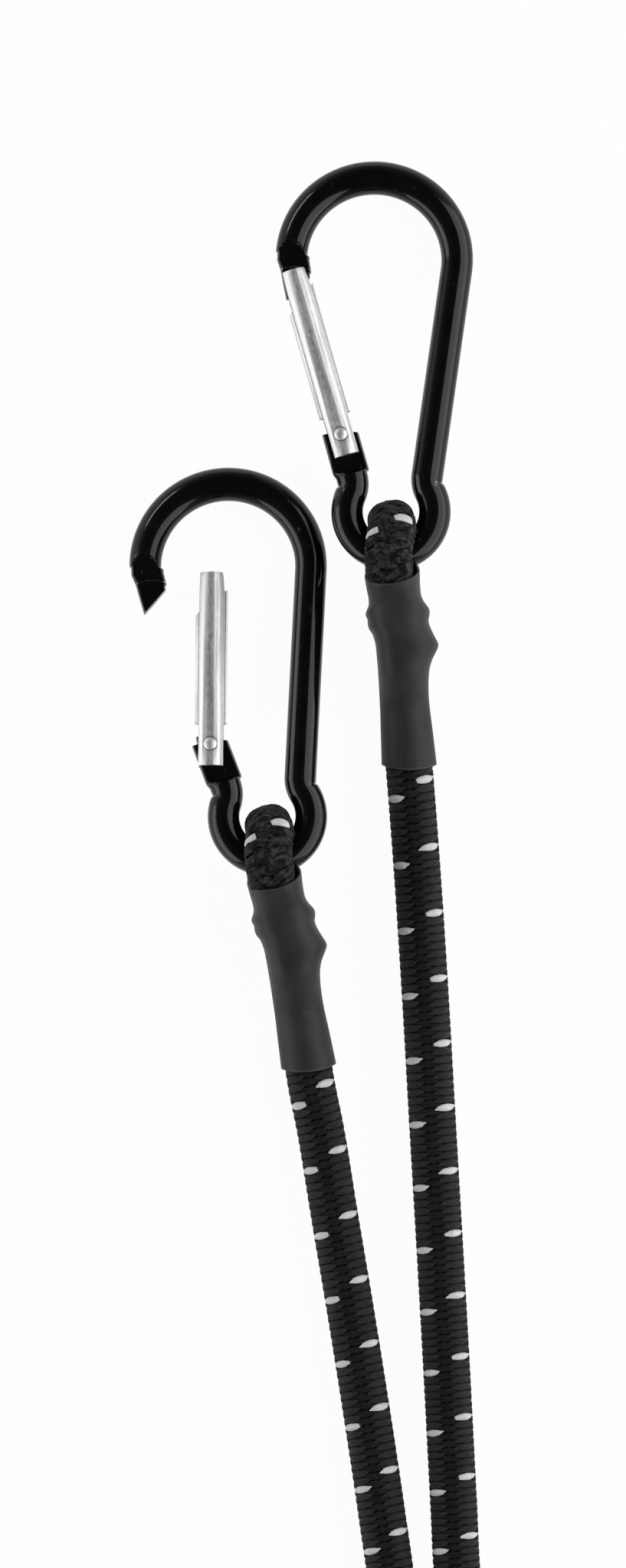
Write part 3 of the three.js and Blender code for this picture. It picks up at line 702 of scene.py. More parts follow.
def braid(bm, line, up, halves, turned, column, lay, cord):
    """Two families of yarns, wound opposite ways and laid two over two in as many columns as yarns."""
    uv = bm.loops.layers.uv.get("yarn") or bm.loops.layers.uv.new("yarn")
    outer, inner, aside = halves
    travel = np.gradient(line, axis=0)
    speed = np.linalg.norm(travel, axis=1)
    ahead = unit(travel)
    up = unit(up - ahead * np.sum(up * ahead, axis=1)[:, None])
    beside = np.cross(ahead, up)
    lead = 2 * math.pi * speed / np.gradient(turned)
    cycles = cord.carriers / 2
    low = cord.yarn_height / 2 + cord.lift + cord.proud
    for way, begin, height in ((1, 0.0, cord.yarn_height), (-1, 0.5, cord.ground_height)):
        for yarn in range(cord.carriers):
            wound = turned + 2 * math.pi * (yarn + begin) / cord.carriers
            even = column + way * wound
            swing = np.sin(cycles * (even - column))
            over = way * np.cos(cycles * (even - column))
            angle = even + way * cord.float_reach / cycles * swing
            slide = -(lay.level * cord.float_level) * lead / (2 * cycles * math.pi) * swing
            grow = cord.lift * over + way * cord.proud - low
            tall = np.where(np.cos(angle) > 0, outer, inner)
            middle = line + ahead * slide[:, None]
            middle = middle + up * ((tall + grow) * np.cos(angle))[:, None]
            middle = middle + beside * ((aside + grow) * np.sin(angle))[:, None]
            out = unit(up * (np.cos(angle) / tall)[:, None] + beside * (np.sin(angle) / aside)[:, None])
            across = unit(np.cross(np.gradient(middle, axis=0), out))
            full = YARN_LEAST + YARN_GAIN * np.maximum(over, 0) ** lay.taper
            bend = np.gradient(up, axis=0) * (tall * np.cos(angle))[:, None]
            bend = bend + np.gradient(beside, axis=0) * (aside * np.sin(angle))[:, None]
            spread = np.clip(1 + np.sum(bend * ahead, axis=1) / speed, *YARN_SPREAD)
            wide = cord.yarn_width / 2 * lead / cord.lead_at_sleeve * spread * full
            thick = height / 2 * lay.relief
            rows = np.stack([
                middle + across * (wide * math.cos(turn))[:, None] + out * (thick * math.sin(turn))
                for turn in YARN_SECTION
            ], axis=1)
            phase = cycles * wound
            marks = np.arange(math.ceil(phase[0] / YARN_TURN), math.floor(phase[-1] / YARN_TURN) + 1)
            kept = np.unique([0, *np.searchsorted(phase, marks * YARN_TURN), len(phase) - 1])
            # The lower yarns take lay.lower; on the free cord that is the darker copy, painted shade
            materials = np.full((len(kept) - 1, len(YARN_SECTION)), 0 if way == 1 else lay.lower)
            if way == 1 and yarn == 0:
                height_there = (over[kept[1:]] + over[kept[:-1]]) / 2
                materials = np.where(height_there[:, None] > lay.shows, 1, 0)
            wind(bm, rows[kept], materials, uv)
    depth = low + cord.lift * TUBE_DEPTH
    rows = np.stack([
        line + up * ((np.where(math.cos(turn) > 0, outer, inner) - depth) * math.cos(turn))[:, None]
        + beside * ((aside - depth) * math.sin(turn))[:, None]
        for turn in np.arange(TUBE_SIDES) * math.pi / (TUBE_SIDES / 2)
    ], axis=1)[::TUBE_STEP]
    # The tube under the yarns takes the darker copy too, as painted shade between them
    wind(bm, rows, np.full(rows.shape[:2], 2), uv)
    bmesh.ops.remove_doubles(bm, verts=bm.verts, dist=1e-7)
    bmesh.ops.holes_fill(bm, edges=[edge for edge in bm.edges if edge.is_boundary], sides=0)
    bmesh.ops.recalc_face_normals(bm, faces=bm.faces)


def cord_finishes(cord, folded=False):
    """The black, the tracer's and a darker copy of the black as painted shade on the lower yarns and the
    tube under them; the black is more mottled on the folded ends.
    """
    black = ("black_yarn", cord.yarn, 0.75, 0.05, 0.3)
    if folded:
        black = ("folded_yarn", cord.yarn, 3.0, 0.02, 0.12, 0.19, 0.36)
    light = ("tracer_yarn", cord.tracer, 0.14, 0.03, 0.25)
    # Painted shade: the lower yarns are the same black yarn, darker and less glossy
    ground = ("ground_yarn", cord.ground, 0.85, 0.0, 0.15)
    return [bpy.data.materials.get(look[0]) or yarn_finish(*look) for look in (black, light, ground)]


class BUNGEE_OT_stage(Operator):
    """Lay the white surface, set the side lights and put the camera straight above"""
    bl_idname = "bungee.stage"
    bl_label = "Stage"

    def execute(self, context):
        look = context.scene.bungee_stage
        bm = bmesh.new()
        bmesh.ops.create_grid(bm, x_segments=1, y_segments=1, size=SURFACE_HALF)
        surface = make_object("surface", bm)
        surface.data.materials.append(self.surface_finish(look))
        self.world(context)
        for light in LIGHTS:
            self.light(context, *light)
        camera = bpy.data.cameras.new("overhead")
        camera.sensor_width = SENSOR_WIDTH
        camera.lens = SENSOR_WIDTH * look.camera_height / look.view_height
        view = bpy.data.objects.new("overhead", camera)
        view.location = (*VIEW_MIDDLE, look.camera_height + CORD_MIDDLE)
        context.scene.collection.objects.link(view)
        context.scene.camera = view
        context.scene.view_settings.view_transform = "Standard"
        return {"FINISHED"}

    def surface_finish(self, look):
        """Plain white to the camera and in reflections, a matte surface to the lights."""
        finish = Finish("white_surface", look.floor, 0.9)
        finish.set("Specular IOR Level", 0.0)
        path = finish.node("ShaderNodeLightPath")
        seen = finish.math("MAXIMUM", path.outputs["Is Camera Ray"], path.outputs["Is Glossy Ray"])
        seen = finish.math("MAXIMUM", seen, path.outputs["Is Transmission Ray"])
        glow = finish.node("ShaderNodeEmission", Strength=1.0)
        mix = finish.node("ShaderNodeMixShader")
        finish.link(finish.math("MULTIPLY", seen, SURFACE_GLOW), mix.inputs["Fac"])
        finish.link(finish.shader.outputs["BSDF"], mix.inputs[1])
        finish.link(glow.outputs["Emission"], mix.inputs[2])
        finish.link(mix.outputs["Shader"], finish.tree.nodes["Material Output"].inputs["Surface"])
        return finish.material

    def world(self, context):
        """White all round, dimmer overhead and along the cord."""
        world = bpy.data.worlds.new("studio")
        context.scene.world = world
        world.use_nodes = True
        sky = Nodes(world.node_tree)
        toward = sky.node("ShaderNodeTexCoord")
        split = sky.node("ShaderNodeSeparateXYZ")
        sky.link(toward.outputs["Generated"], split.inputs["Vector"])
        overhead = sky.node(
            "ShaderNodeMapRange", **{"From Min": 0.2, "From Max": 0.6, "To Min": 1.0, "To Max": 0.2})
        sky.link(split.outputs["Z"], overhead.inputs["Value"])
        aside = sky.node("ShaderNodeMapRange", **{"From Max": 0.8, "To Min": 0.25})
        sky.link(sky.math("MULTIPLY", split.outputs["X"], split.outputs["X"]), aside.inputs["Value"])
        back = world.node_tree.nodes["Background"]
        strength = sky.math("MULTIPLY", overhead.outputs["Result"], aside.outputs["Result"])
        sky.link(strength, back.inputs["Strength"])
        back.inputs["Color"].default_value = (1, 1, 1, 1)

    def light(self, context, name, place, size, energy):
        data = bpy.data.lights.new(name, "AREA")
        data.shape = "RECTANGLE"
        data.size, data.size_y = size
        data.energy = energy
        lamp = bpy.data.objects.new(name, data)
        lamp.location = place
        aim = LIGHT_AIM - Vector(place)
        lamp.rotation_euler = aim.to_track_quat("-Z", "Y").to_euler()
        context.scene.collection.objects.link(lamp)


class BUNGEE_OT_cord(Operator):
    """Braid the free cord along its route"""
    bl_idname = "bungee.cord"
    bl_label = "Cord"

    def execute(self, context):
        cord = context.scene.bungee_cord
        lengths, line = cord_line(CORD_ROUTE, LINE_STEP)
        line[:, 2] += LINE_RISE
        whole = lengths[-1]
        turned, column = self.lay(lengths, whole, cord)
        split = int(np.argmax(line[:, 1] < RUNS_MEET_Y))
        radius = np.full(len(line), cord.diameter / 2 + BRAID_RISE)
        up = np.tile((0.0, 0.0, 1.0), (len(line), 1))
        made = []
        for name, body, node, part in (
                ("cord_right_run", None, "cord_core", slice(0, split + 1)),
                ("cord_left_run", "cord", "cord_cover", slice(split, None))):
            bm = bmesh.new()
            braid(bm, line[part], up[part], [radius[part]] * 3, turned[part], column[part], FREE_LAY, cord)
            made.append(finish_piece(name, bm, cord_finishes(cord), body, [node]))
        right, left = made
        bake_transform(right)
        return {"FINISHED"}

    def lay(self, lengths, whole, cord):
        """How far the yarns have turned, and where their columns stand, along the cord."""
        near = np.minimum(lengths, whole - lengths)
        share = np.clip((near - LEAD_START) / LEAD_FADE, 0, 1)
        rate = 2 * math.pi / (cord.lead_at_sleeve + (cord.lead_at_bend - cord.lead_at_sleeve) * share)
        step = lengths[1] - lengths[0]
        turned = np.concatenate([[0], np.cumsum((rate[1:] + rate[:-1]) / 2 * step)])
        change = ease(np.clip((lengths - COLUMN_HOLD) / (whole - 2 * COLUMN_HOLD), 0, 1))
        column = RIGHT_COLUMN + (LEFT_COLUMN - RIGHT_COLUMN) * change
        turned = turned - np.interp(RIGHT_FLECK, lengths, turned) - math.pi / 2
        over = np.interp(whole - LEFT_FLECK, lengths, turned) % (2 * math.pi)
        turned = turned + change * (-over if over < math.pi else 2 * math.pi - over)
        return turned, column


class BUNGEE_OT_loops(Operator):
    """Braid the folded ends over the eyes of the hooks"""
    bl_idname = "bungee.loops"
    bl_label = "Folded ends"

    def execute(self, context):
        cord = context.scene.bungee_cord
        points, outs, grips = self.route(context.scene.bungee_hook)
        lengths, line = cord_line(points, LINE_STEP)
        marks = distances(points)
        up = np.column_stack([np.interp(lengths, marks, [out[axis] for out in outs]) for axis in range(3)])
        grip = np.interp(lengths, marks, grips)
        halves = [(start + gain * grip) * MM for start, gain in FOLD_HALVES]
        column = np.full(len(line), FOLD_COLUMN)
        fleck = np.interp(len(BACK_LEG) + FOLD_FLECK / 180 * BEND_STEPS, range(len(marks)), marks)
        turned = 2 * math.pi * (lengths - fleck) / FOLD_LEAD - math.pi / 2
        for side in SIDES:
            bm = bmesh.new()
            braid(bm, line, up, halves, turned, column, FOLDED_LAY, cord)
            bmesh.ops.transform(bm, matrix=end_matrix(side), verts=bm.verts)
            finish_piece(f"{side}_folded_end", bm, cord_finishes(cord, True), END_BODY[side],
                         [f"{side}_cord_loop", f"{side}_loop_core"])
        return {"FINISHED"}

    def route(self, hook):
        """The fold's middle line, its outward directions and the sleeve's grip on it."""
        radius = hook.bar_diameter / 2 + FOLD_CLEARANCE + FOLD_HALVES[1][0] * MM
        points = [(0, y * MM, -radius - grip * MM) for y, grip in BACK_LEG]
        outs = [(0, 0, -1)] * len(points)
        grips = [grip for _, grip in BACK_LEG]
        for step in range(BEND_STEPS + 1):
            angle = math.pi * step / BEND_STEPS
            points.append((0, radius * math.sin(angle), -radius * math.cos(angle)))
            outs.append((0, math.sin(angle), -math.cos(angle)))
            grips.append(0)
        for y, grip in FRONT_LEG:
            points.append((0, y * MM, radius - FRONT_DROP * ease(grip)))
            outs.append((0, 0, 1))
            grips.append(grip)
        shifts = np.interp([point[1] / MM for point in points], *zip(*FOLD_SHIFT))
        points = [(shift * MM, y, z) for shift, (_, y, z) in zip(shifts, points)]
        return points, outs, grips


class BUNGEE_OT_sleeves(Operator):
    """Shrink a tube over each fold and its crimp"""
    bl_idname = "bungee.sleeves"
    bl_label = "Sleeves"

    def execute(self, context):
        sleeve = context.scene.bungee_sleeve
        finish = sleeve_finish(sleeve)
        for side in SIDES:
            bm = bmesh.new()
            self.tube(bm)
            bmesh.ops.transform(bm, matrix=end_matrix(side), verts=bm.verts)
            piece = finish_piece(
                f"{side}_shrunk_sleeve", bm, [finish], END_BODY[side], [f"{side}_sleeve"])
            wall = piece.modifiers.new("Wall", "SOLIDIFY")
            wall.thickness = sleeve.wall
            wall.offset = -1
            wall.edge_crease_rim = wall.edge_crease_inner = wall.edge_crease_outer = 1.0
            fine = piece.modifiers.new("Round", "SUBSURF")
            fine.levels = fine.render_levels = 1
        return {"FINISHED"}

    def tube(self, bm):
        keys = np.array(SLEEVE_SECTIONS)
        rim = bm.verts.layers.float.new("rim")
        places = np.unique(np.concatenate([np.linspace(*rings) for rings in SLEEVE_RINGS]))
        loops = []
        for place in places:
            section = [np.interp(place, keys[:, 0], column) for column in keys[:, 1:].T]
            ring = bmesh.ops.create_circle(bm, segments=SLEEVE_SIDES, radius=1)["verts"]
            for vert in ring:
                # The end rings are marked for the painted highlight along the rims
                vert[rim] = float(place in (places[0], places[-1]))
                turn = math.atan2(vert.co.y, vert.co.x)
                vert.co = self.on_sleeve(place, turn, *section) * MM
            loops.append({edge for vert in ring for edge in vert.link_edges})
        for first, second in zip(loops, loops[1:]):
            bmesh.ops.bridge_loops(bm, edges=[*first, *second])
        bmesh.ops.recalc_face_normals(bm, faces=bm.faces)
        smooth(bm)

    def on_sleeve(self, place, turn, left, right, low, high, power):
        """A point of the sleeve's outside; its rims bow down in front, and its mouth stands up behind."""
        across = math.copysign(abs(math.cos(turn)) ** (2 / power), math.cos(turn))
        rise = math.copysign(abs(math.sin(turn)) ** (2 / power), math.sin(turn))
        x = across * (right if across > 0 else left) + np.interp(place, *zip(*SLEEVE_SHIFT))
        y = -place
        front = max(0.0, math.sin(turn)) ** FRONT_POWER
        back = max(0.0, -math.sin(turn))
        if place < SLEEVE_THROAT:
            mouth = (SLEEVE_THROAT - place) / (SLEEVE_THROAT - SLEEVE_MOUTH)
            aside = MOUTH_RIGHT * max(0.0, across)
            y += mouth * (aside - MOUTH_DOWN - MOUTH_FRONT * front + MOUTH_BACK * back)
        if place > SLEEVE_ANKLE:
            foot = (place - SLEEVE_ANKLE) / (SLEEVE_FOOT - SLEEVE_ANKLE)
            y += foot * (FOOT_LEFT - FOOT_LEFT * across - FOOT_FRONT * front)
        return Vector((x, y, (low + high) / 2 + rise * (high - low) / 2))


class BUNGEE_OT_hooks(Operator):
    """Bend each hook from a round bar and press its two ends flat"""
    bl_idname = "bungee.hooks"
    bl_label = "Hooks"

    def execute(self, context):
        hook = context.scene.bungee_hook
        finish = coating_finish(hook)
        for side in SIDES:
            bm = bmesh.new()
            self.bend(bm, hook)
            bmesh.ops.transform(bm, matrix=hook_matrix(side, hook), verts=bm.verts)
            piece = finish_piece(
                f"{side}_bent_hook", bm, [finish], f"{side}_hook", [f"{side}_carabiner"])
            piece.data.set_sharp_from_angle(angle=HOOK_SHARP)
        return {"FINISHED"}

    def bend(self, bm, hook):
        turn = bm.verts.layers.float.new("turn")
        crease = bm.verts.layers.float.new("crease")
        bar = hook.bar_diameter / 2
        blade = hook.blade_thickness / 2
        start = ARCH_MIDDLE + Vector((-hook.arch_radius, 0, 0))
        nose = hook.nose_thickness / 2
        ledge = Matrix.Rotation(LEDGE_LEAN, 3, "Z") @ GATE_IN
        ring = bmesh.ops.create_circle(bm, segments=BAR_SIDES, radius=bar)["verts"]
        for vert in ring:
            vert[turn] = math.atan2(vert.co.y, vert.co.x)
            vert.co = start + Vector((vert.co.x, 0, vert.co.y))
        first = list({edge for vert in ring for edge in vert.link_edges})
        self.press(bm, first, turn, crease, bar, [
            (start + Vector((0, -0.2 * MM, 0)), Vector((1, 0, 0)), 0.9, 1.14, nose, 0, 0, 0),
            (beside_gate(33.45, 0.05), ledge, 0.985, 0.97, nose, 0, 0.6, NOSE_BOW),
            (beside_gate(33.25, 0.05), ledge, 0.985, 0.965, nose * 0.96, 0, 1.0, NOSE_BOW),
            (beside_gate(33.0, 0.05), ledge, 0.985, 0.95, blade, 0, 0.6, NOSE_BOW),
            (beside_gate(31.6, -0.15), GATE_IN, 0.95, 0.85, blade, 0.1, 0, 0),
            (beside_gate(29.9, -0.2), GATE_IN, 1.0, 0.83, blade, 0.55, 0, 0),
            (beside_gate(29.84, -0.2), GATE_IN, 0.99, 0.82, blade * 0.92, 0.55, 0, 0),
        ])
        last = self.spin(bm, first, ARCH_MIDDLE, -NOSE_ARC, NOSE_STEPS)
        last = self.spin(bm, last, ARCH_MIDDLE, NOSE_ARC - math.pi - SPINE_LEAN, ARCH_STEPS)
        spine_out = Vector((math.cos(SPINE_LEAN), -math.sin(SPINE_LEAN), 0))
        spine_down = Vector((-math.sin(SPINE_LEAN), -math.cos(SPINE_LEAN), 0))
        spine_top = ARCH_MIDDLE + spine_out * hook.arch_radius
        middle, foot, angle = self.neck(spine_top, spine_down, spine_out, hook)
        last = self.run(bm, last, foot - spine_top, SPINE_STEPS)
        last = self.spin(bm, last, middle, angle, NECK_STEPS)
        eye = Vector((0, hook.eye_radius, 0))
        other, tang_top, other_angle = self.neck(PIVOT, -GATE_UP, -GATE_IN, hook)
        from_eye = math.atan2(*(middle - eye).yx)
        to_eye = math.atan2(*(other - eye).yx) - 2 * math.pi
        last = self.spin(bm, last, eye, to_eye - from_eye, EYE_STEPS)
        last = self.spin(bm, last, other, other_angle, NECK_STEPS)
        self.press(bm, last, turn, crease, bar, [
            (beside_gate(-7.95, 0), GATE_IN, 1.0, 1.0, bar, 0, 0.2, 0),
            (beside_gate(-7.5, 0), GATE_IN, 1.1, 1.13, TANG_STEP, -0.1, 0.8, 0),
            (beside_gate(-7.1, 0), GATE_IN, 1.13, 1.16, blade, -0.1, 0.55, 0),
            (beside_gate(-4.0, 0), GATE_IN, 1.13, 1.15, blade, 0, 0.1, 0),
            (beside_gate(0.35, 0), GATE_IN, 1.13, 1.13, blade, -0.19, 0.25, 0),
            (beside_gate(0.5, 0), GATE_IN, 0.8, 0.8, blade, -0.19, 0, 0),
            (beside_gate(2.3, 0), GATE_IN, 0.72, 0.72, blade, 0, 0, 0),
        ])
        for vert in bm.verts:
            self.flatten_nose(vert, hook)
            self.notch(vert, crease, middle, foot, angle, 1, hook)
            self.notch(vert, crease, other, tang_top, other_angle, -1, hook)
        bmesh.ops.remove_doubles(bm, verts=bm.verts, dist=1e-6)
        bmesh.ops.recalc_face_normals(bm, faces=bm.faces)
        smooth(bm)

    def flatten_nose(self, vert, hook):
        """Thicken the arch's crown a little, and slope the bar down to the nose blade."""
        from_arch = vert.co - ARCH_MIDDLE
        if from_arch.y < ARCH_FOOT:
            return
        flat = Vector((from_arch.x, from_arch.y, 0))
        spread = flat.length - hook.arch_radius
        if abs(spread) > hook.bar_diameter:
            return
        crown = from_arch.y / flat.length
        vert.co += flat.normalized() * spread * CROWN_SWELL * max(0.0, crown)
        bar = hook.bar_diameter / 2
        to_nose = hook.arch_radius * (math.pi - math.atan2(from_arch.y, from_arch.x))
        edge = NOSE_REACH - NOSE_CURVE * (spread / bar) ** 2
        rounded = self.fade((to_nose - edge) / NOSE_EDGE + 1)
        pressed = hook.nose_thickness / 2 + NOSE_SLOPE * to_nose
        limit = pressed + (bar - pressed) * rounded
        if rounded < 1:
            vert.co.z = max(-limit, min(limit, vert.co.z))
        inset = NOSE_INSET * (1 - self.fade((to_nose - NOSE_INSET_END) / NOSE_EDGE))
        swell = NOSE_SWELL * (1 - self.fade((to_nose - NOSE_SWELL_START) / NOSE_SWELL_FADE))
        vert.co -= flat.normalized() * (inset if spread > 0 else swell) * abs(spread / bar)

    def fade(self, share):
        return ease(max(0.0, min(1.0, share)))

    def notch(self, vert, crease, middle, foot, angle, way, hook):
        """Turn the hollow side of a neck into a sharp notch, worn bare."""
        from_neck = Vector((vert.co.x - middle.x, vert.co.y - middle.y, 0))
        first = foot - middle
        turned = way * math.atan2(first.x * from_neck.y - first.y * from_neck.x, first.dot(from_neck))
        bar = hook.bar_diameter / 2
        inside = (hook.neck_radius - from_neck.length) / bar
        if not -NOTCH_MARGIN < turned < angle + NOTCH_MARGIN or not 0 < inside < 1.05:
            return
        hollow = hook.neck_radius - bar
        start = first.normalized() * hollow
        along = Vector((-start.y, start.x, 0)).normalized() * way
        end = Matrix.Rotation(way * angle, 3, "Z") @ start
        corner = start + along * (hollow * math.tan(angle / 2) + NOTCH_DEPTH)
        share = max(0.0, min(1.0, turned / angle))
        if share < NOTCH_CORNER:
            place = start.lerp(corner, share / NOTCH_CORNER)
        else:
            place = corner.lerp(end, (share - NOTCH_CORNER) / (1 - NOTCH_CORNER))
        vert.co += (place - from_neck.normalized() * hollow) * inside ** 2
        if WORN_FROM < share < WORN_TO and inside > WORN_INSIDE:
            vert[crease] = NOTCH_WEAR

    def neck(self, limb, down, outward, hook):
        """The bend from a straight limb on to the eye: its middle, where it starts and how far it turns."""
        eye = Vector((0, hook.eye_radius, 0))
        start = limb + outward * hook.neck_radius - eye
        reach = hook.eye_radius + hook.neck_radius
        half = start.dot(down)
        travel = -half - math.sqrt(half * half - start.length_squared + reach * reach)
        middle = start + down * travel + eye
        foot = middle - outward * hook.neck_radius
        angle = (-outward).angle((eye - middle).normalized())
        return middle, foot, angle

    def spin(self, bm, edges, middle, angle, steps):
        geometry = [*{vert for edge in edges for vert in edge.verts}, *edges]
        made = bmesh.ops.spin(
            bm, geom=geometry, cent=middle, axis=FLAT, angle=angle, steps=steps, use_duplicate=False)
        return [item for item in made["geom_last"] if isinstance(item, bmesh.types.BMEdge)]

    def run(self, bm, edges, travel, steps):
        for _ in range(steps):
            verts, edges = extrude(bm, edges)
            bmesh.ops.translate(bm, verts=list(verts), vec=travel / steps)
        return edges

    def press(self, bm, edges, turn, crease, bar, sections):
        """Draw the bar's end out through pressed sections.

        Each has its middle, the direction of its width, its outer and inner share of the bar's width, half
        its thickness, its slant, its wear and how far it bows ahead in the middle.
        """
        for middle, across, outer, inner, half, slant, wear, bow in sections:
            verts, edges = extrude(bm, edges)
            along = Vector((-across.y, across.x, 0))
            for vert in verts:
                wide = math.cos(vert[turn])
                level = max(-half, min(half, math.sin(vert[turn]) * bar))
                offset = wide * bar * (inner if wide > 0 else outer)
                ahead = slant * offset + bow * (1 - wide * wide)
                vert.co = middle + across * offset + along * ahead + FLAT * level
                vert[crease] = wear
        bmesh.ops.edgeloop_fill(bm, edges=edges)


class BUNGEE_OT_gates(Operator):
    """Make each gate from a ribbed bar, slot both its ends and rivet it"""
    bl_idname = "bungee.gates"
    bl_label = "Gates and rivets"

    def execute(self, context):
        gate = context.scene.bungee_gate
        hook = context.scene.bungee_hook
        metal = gate_finish(gate)
        polish = rivet_finish(gate)
        for side in SIDES:
            bm = bmesh.new()
            bm.from_mesh(self.slotted(context, gate))
            place = bm.verts.layers.float_vector.new("gate_place")
            for vert in bm.verts:
                vert[place] = vert.co
            bmesh.ops.transform(bm, matrix=gate_matrix(side, hook), verts=bm.verts)
            finish_piece(
                f"{side}_slotted_gate", bm, [metal], f"{side}_gate_body", [f"{side}_gate"])
            bm = bmesh.new()
            self.rivet(bm, gate)
            bmesh.ops.transform(bm, matrix=gate_matrix(side, hook), verts=bm.verts)
            finish_piece(
                f"{side}_rivet", bm, [polish], f"{side}_gate_body", [f"{side}_gate_rivet"])
        return {"FINISHED"}

    def slotted(self, context, gate):
        """The ribbed bar with its slots and rivet seats cut, and its edges eased."""
        bar = self.solid("gate_bar", self.bar, gate)
        cutters = [
            self.solid("lower_slot", self.lower_slot, gate),
            self.solid("upper_slot", self.upper_slot, gate),
            self.solid("rivet_seats", self.rivet_seats, gate),
        ]
        for cutter in cutters:
            cut = bar.modifiers.new(cutter.name, "BOOLEAN")
            cut.operation = "DIFFERENCE"
            cut.solver = "EXACT"
            cut.object = cutter
        bevel = bar.modifiers.new("Ease", "BEVEL")
        bevel.limit_method = "ANGLE"
        bevel.angle_limit = EASED_FROM
        bevel.width = GATE_EASE
        bevel.segments = 2
        bevel.use_clamp_overlap = True
        shape = bar.evaluated_get(context.evaluated_depsgraph_get())
        mesh = bpy.data.meshes.new_from_object(shape)
        mesh.materials.clear()
        for extra in (bar, *cutters):
            bpy.data.objects.remove(extra)
        for face in mesh.polygons:
            face.use_smooth = True
        mesh.set_sharp_from_angle(angle=GATE_SHARP)
        return mesh

    def solid(self, name, build, gate):
        bm = bmesh.new()
        build(bm, gate)
        bmesh.ops.recalc_face_normals(bm, faces=bm.faces)
        return make_object(name, bm)

    def bar(self, bm, gate):
        """A rounded bar with a rib along each side, drawn in at its free end."""
        steps = (gate.above + gate.below - GATE_TAPER, *[GATE_TAPER / TAPER_STEPS] * TAPER_STEPS)
        verts = [bm.verts.new((x, -gate.below, z)) for x, z in self.section(gate)]
        edges = [bm.edges.new((verts[index - 1], verts[index])) for index in range(len(verts))]
        bmesh.ops.edgeloop_fill(bm, edges=edges)
        for step in steps:
            verts, edges = extrude(bm, edges)
            bmesh.ops.translate(bm, verts=list(verts), vec=(0, step, 0))
        bmesh.ops.edgeloop_fill(bm, edges=edges)
        for vert in bm.verts:
            drawn = max(0.0, (vert.co.y - gate.above) / GATE_TAPER + 1) ** TAPER_POWER
            vert.co.x *= 1 - drawn * (DRAWN_OUTER if vert.co.x < 0 else DRAWN_INNER)
            vert.co.z *= 1 - drawn * DRAWN_THICK

    def section(self, gate):
        """The bar's outline: rib, groove, shoulder and a round crown, mirrored above and below."""
        half = gate.width / 2
        level = (half * half - SHOULDER.length_squared) / (2 * (half - SHOULDER.y))
        radius = half - level
        sides = []
        for rib, edge in RIBS:
            widest = math.asin(edge * MM / radius)
            turns = [widest * (1 - step / CROWN_STEPS) for step in range(CROWN_STEPS)]
            crown = [(radius * math.sin(turn), level + radius * math.cos(turn)) for turn in turns]
            sides.append([(x * MM, z * MM) for x, z in rib] + crown)
        right, left = sides
        top = right + [(0.0, half)] + [(-x, z) for x, z in reversed(left)]
        return top + [(x, -z) for x, z in reversed(top)]

    def lower_slot(self, bm, gate):
        high, low = LOWER_FLOOR, -gate.below - LOWER_PAST
        middle = Matrix.Translation((0, (high + low) / 2, 0))
        size = Matrix.Diagonal((LOWER_WIDE, high - low, gate.slot, 1))
        bmesh.ops.create_cube(bm, size=1, matrix=middle @ size)

    def upper_slot(self, bm, gate):
        """A slot whose floor slopes, deeper on the outer side."""
        middle = Matrix.Translation((0, gate.above + UPPER_PAST, 0))
        size = Matrix.Diagonal((2 * UPPER_PAST, 2 * UPPER_PAST, gate.slot, 1))
        made = bmesh.ops.create_cube(bm, size=1, matrix=middle @ size)
        half = gate.width / 2
        for vert in made["verts"]:
            if vert.co.y < gate.above + UPPER_PAST:
                share = (vert.co.x + half) / (2 * half)
                vert.co.y = gate.above - UPPER_FLOOR + share * UPPER_SLOPE

    def rivet_seats(self, bm, gate):
        radius = gate.rivet_head / 2 + SEAT_PLAY
        for level in (SEAT_LEVEL, -SEAT_LEVEL):
            bmesh.ops.create_cone(
                bm, cap_ends=True, segments=TURNED_SIDES, radius1=radius, radius2=radius, depth=SEAT_DEPTH,
                matrix=Matrix.Translation((0, 0, level)))

    def rivet(self, bm, gate):
        """A pin with a domed head on both sides, turned about its axis."""
        head = gate.rivet_head / 2
        profile = [(x * MM * head / (RIVET_HALF * MM), z * MM) for x, z in RIVET_OUTLINE]
        profile += [(x, -z) for x, z in reversed(profile)]
        verts = [bm.verts.new((x, 0, z)) for x, z in profile]
        edges = [bm.edges.new(pair) for pair in zip(verts, verts[1:])]
        bmesh.ops.spin(
            bm, geom=[*verts, *edges], cent=(0, 0, 0), axis=FLAT, angle=2 * math.pi, steps=TURNED_SIDES,
            use_merge=True, use_duplicate=False)
        bmesh.ops.remove_doubles(bm, verts=bm.verts, dist=1e-6)
        bmesh.ops.recalc_face_normals(bm, faces=bm.faces)
        smooth(bm)


class BUNGEE_OT_fittings(Operator):
    """Finish the pieces inside: crimps, springs and push pins"""
    bl_idname = "bungee.fittings"
    bl_label = "Inner fittings"

    def execute(self, context):
        wire = wire_finish()
        for side in SIDES:
            for node in ("crimp", "gate_spring", "gate_plunger"):
                self.dress(f"{side}_{node}", wire)
        return {"FINISHED"}

    def dress(self, node, material):
        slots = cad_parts[node].data.materials
        slots.clear()
        slots.append(material)


class BUNGEE_PT_panel(Panel):
    bl_label = "Bungee cord"
    bl_idname = "BUNGEE_PT_panel"
    bl_space_type = "VIEW_3D"
    bl_region_type = "UI"
    bl_category = "Bungee"

    def draw(self, context):
        for operator in STEPS:
            self.layout.operator(operator.bl_idname)
        for group in SETTINGS:
            sizes = getattr(context.scene, group)
            box = self.layout.box()
            for name in sizes.__annotations__:
                box.prop(sizes, name)


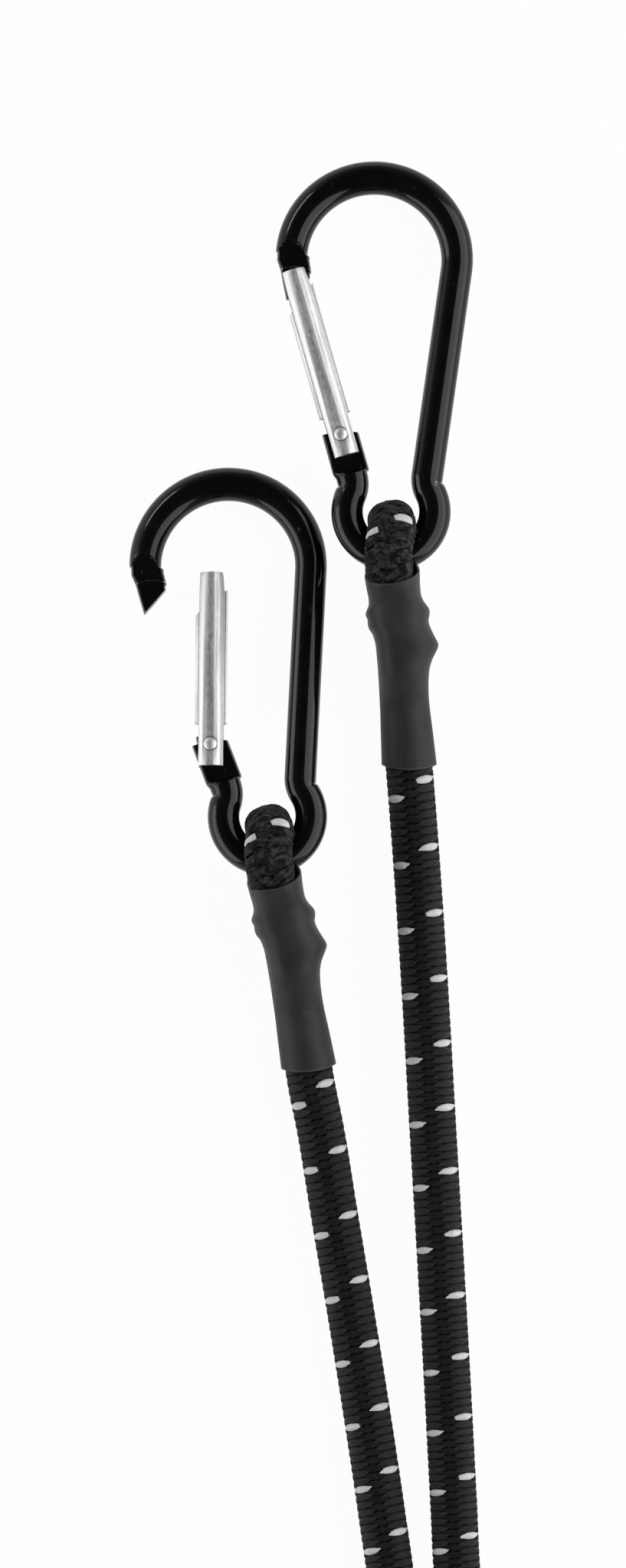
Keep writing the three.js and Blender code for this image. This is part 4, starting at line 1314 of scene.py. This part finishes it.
STEPS = (
    BUNGEE_OT_stage, BUNGEE_OT_cord, BUNGEE_OT_loops, BUNGEE_OT_sleeves, BUNGEE_OT_hooks, BUNGEE_OT_gates,
    BUNGEE_OT_fittings,
)
SETTINGS = {
    "bungee_hook": HookSizes,
    "bungee_gate": GateSizes,
    "bungee_cord": CordSizes,
    "bungee_sleeve": SleeveSizes,
    "bungee_stage": StageLook,
}
CLASSES = (*SETTINGS.values(), *STEPS, BUNGEE_PT_panel)


def register():
    for kind in CLASSES:
        bpy.utils.register_class(kind)
    for name, kind in SETTINGS.items():
        setattr(bpy.types.Scene, name, PointerProperty(type=kind))


def unregister():
    for name in SETTINGS:
        delattr(bpy.types.Scene, name)
    for kind in reversed(CLASSES):
        bpy.utils.unregister_class(kind)


def main():
    register()
    bpy.ops.bungee.stage()
    bpy.ops.bungee.cord()
    bpy.ops.bungee.loops()
    bpy.ops.bungee.sleeves()
    bpy.ops.bungee.hooks()
    bpy.ops.bungee.gates()
    bpy.ops.bungee.fittings()


if __name__ == "__main__":
    main()
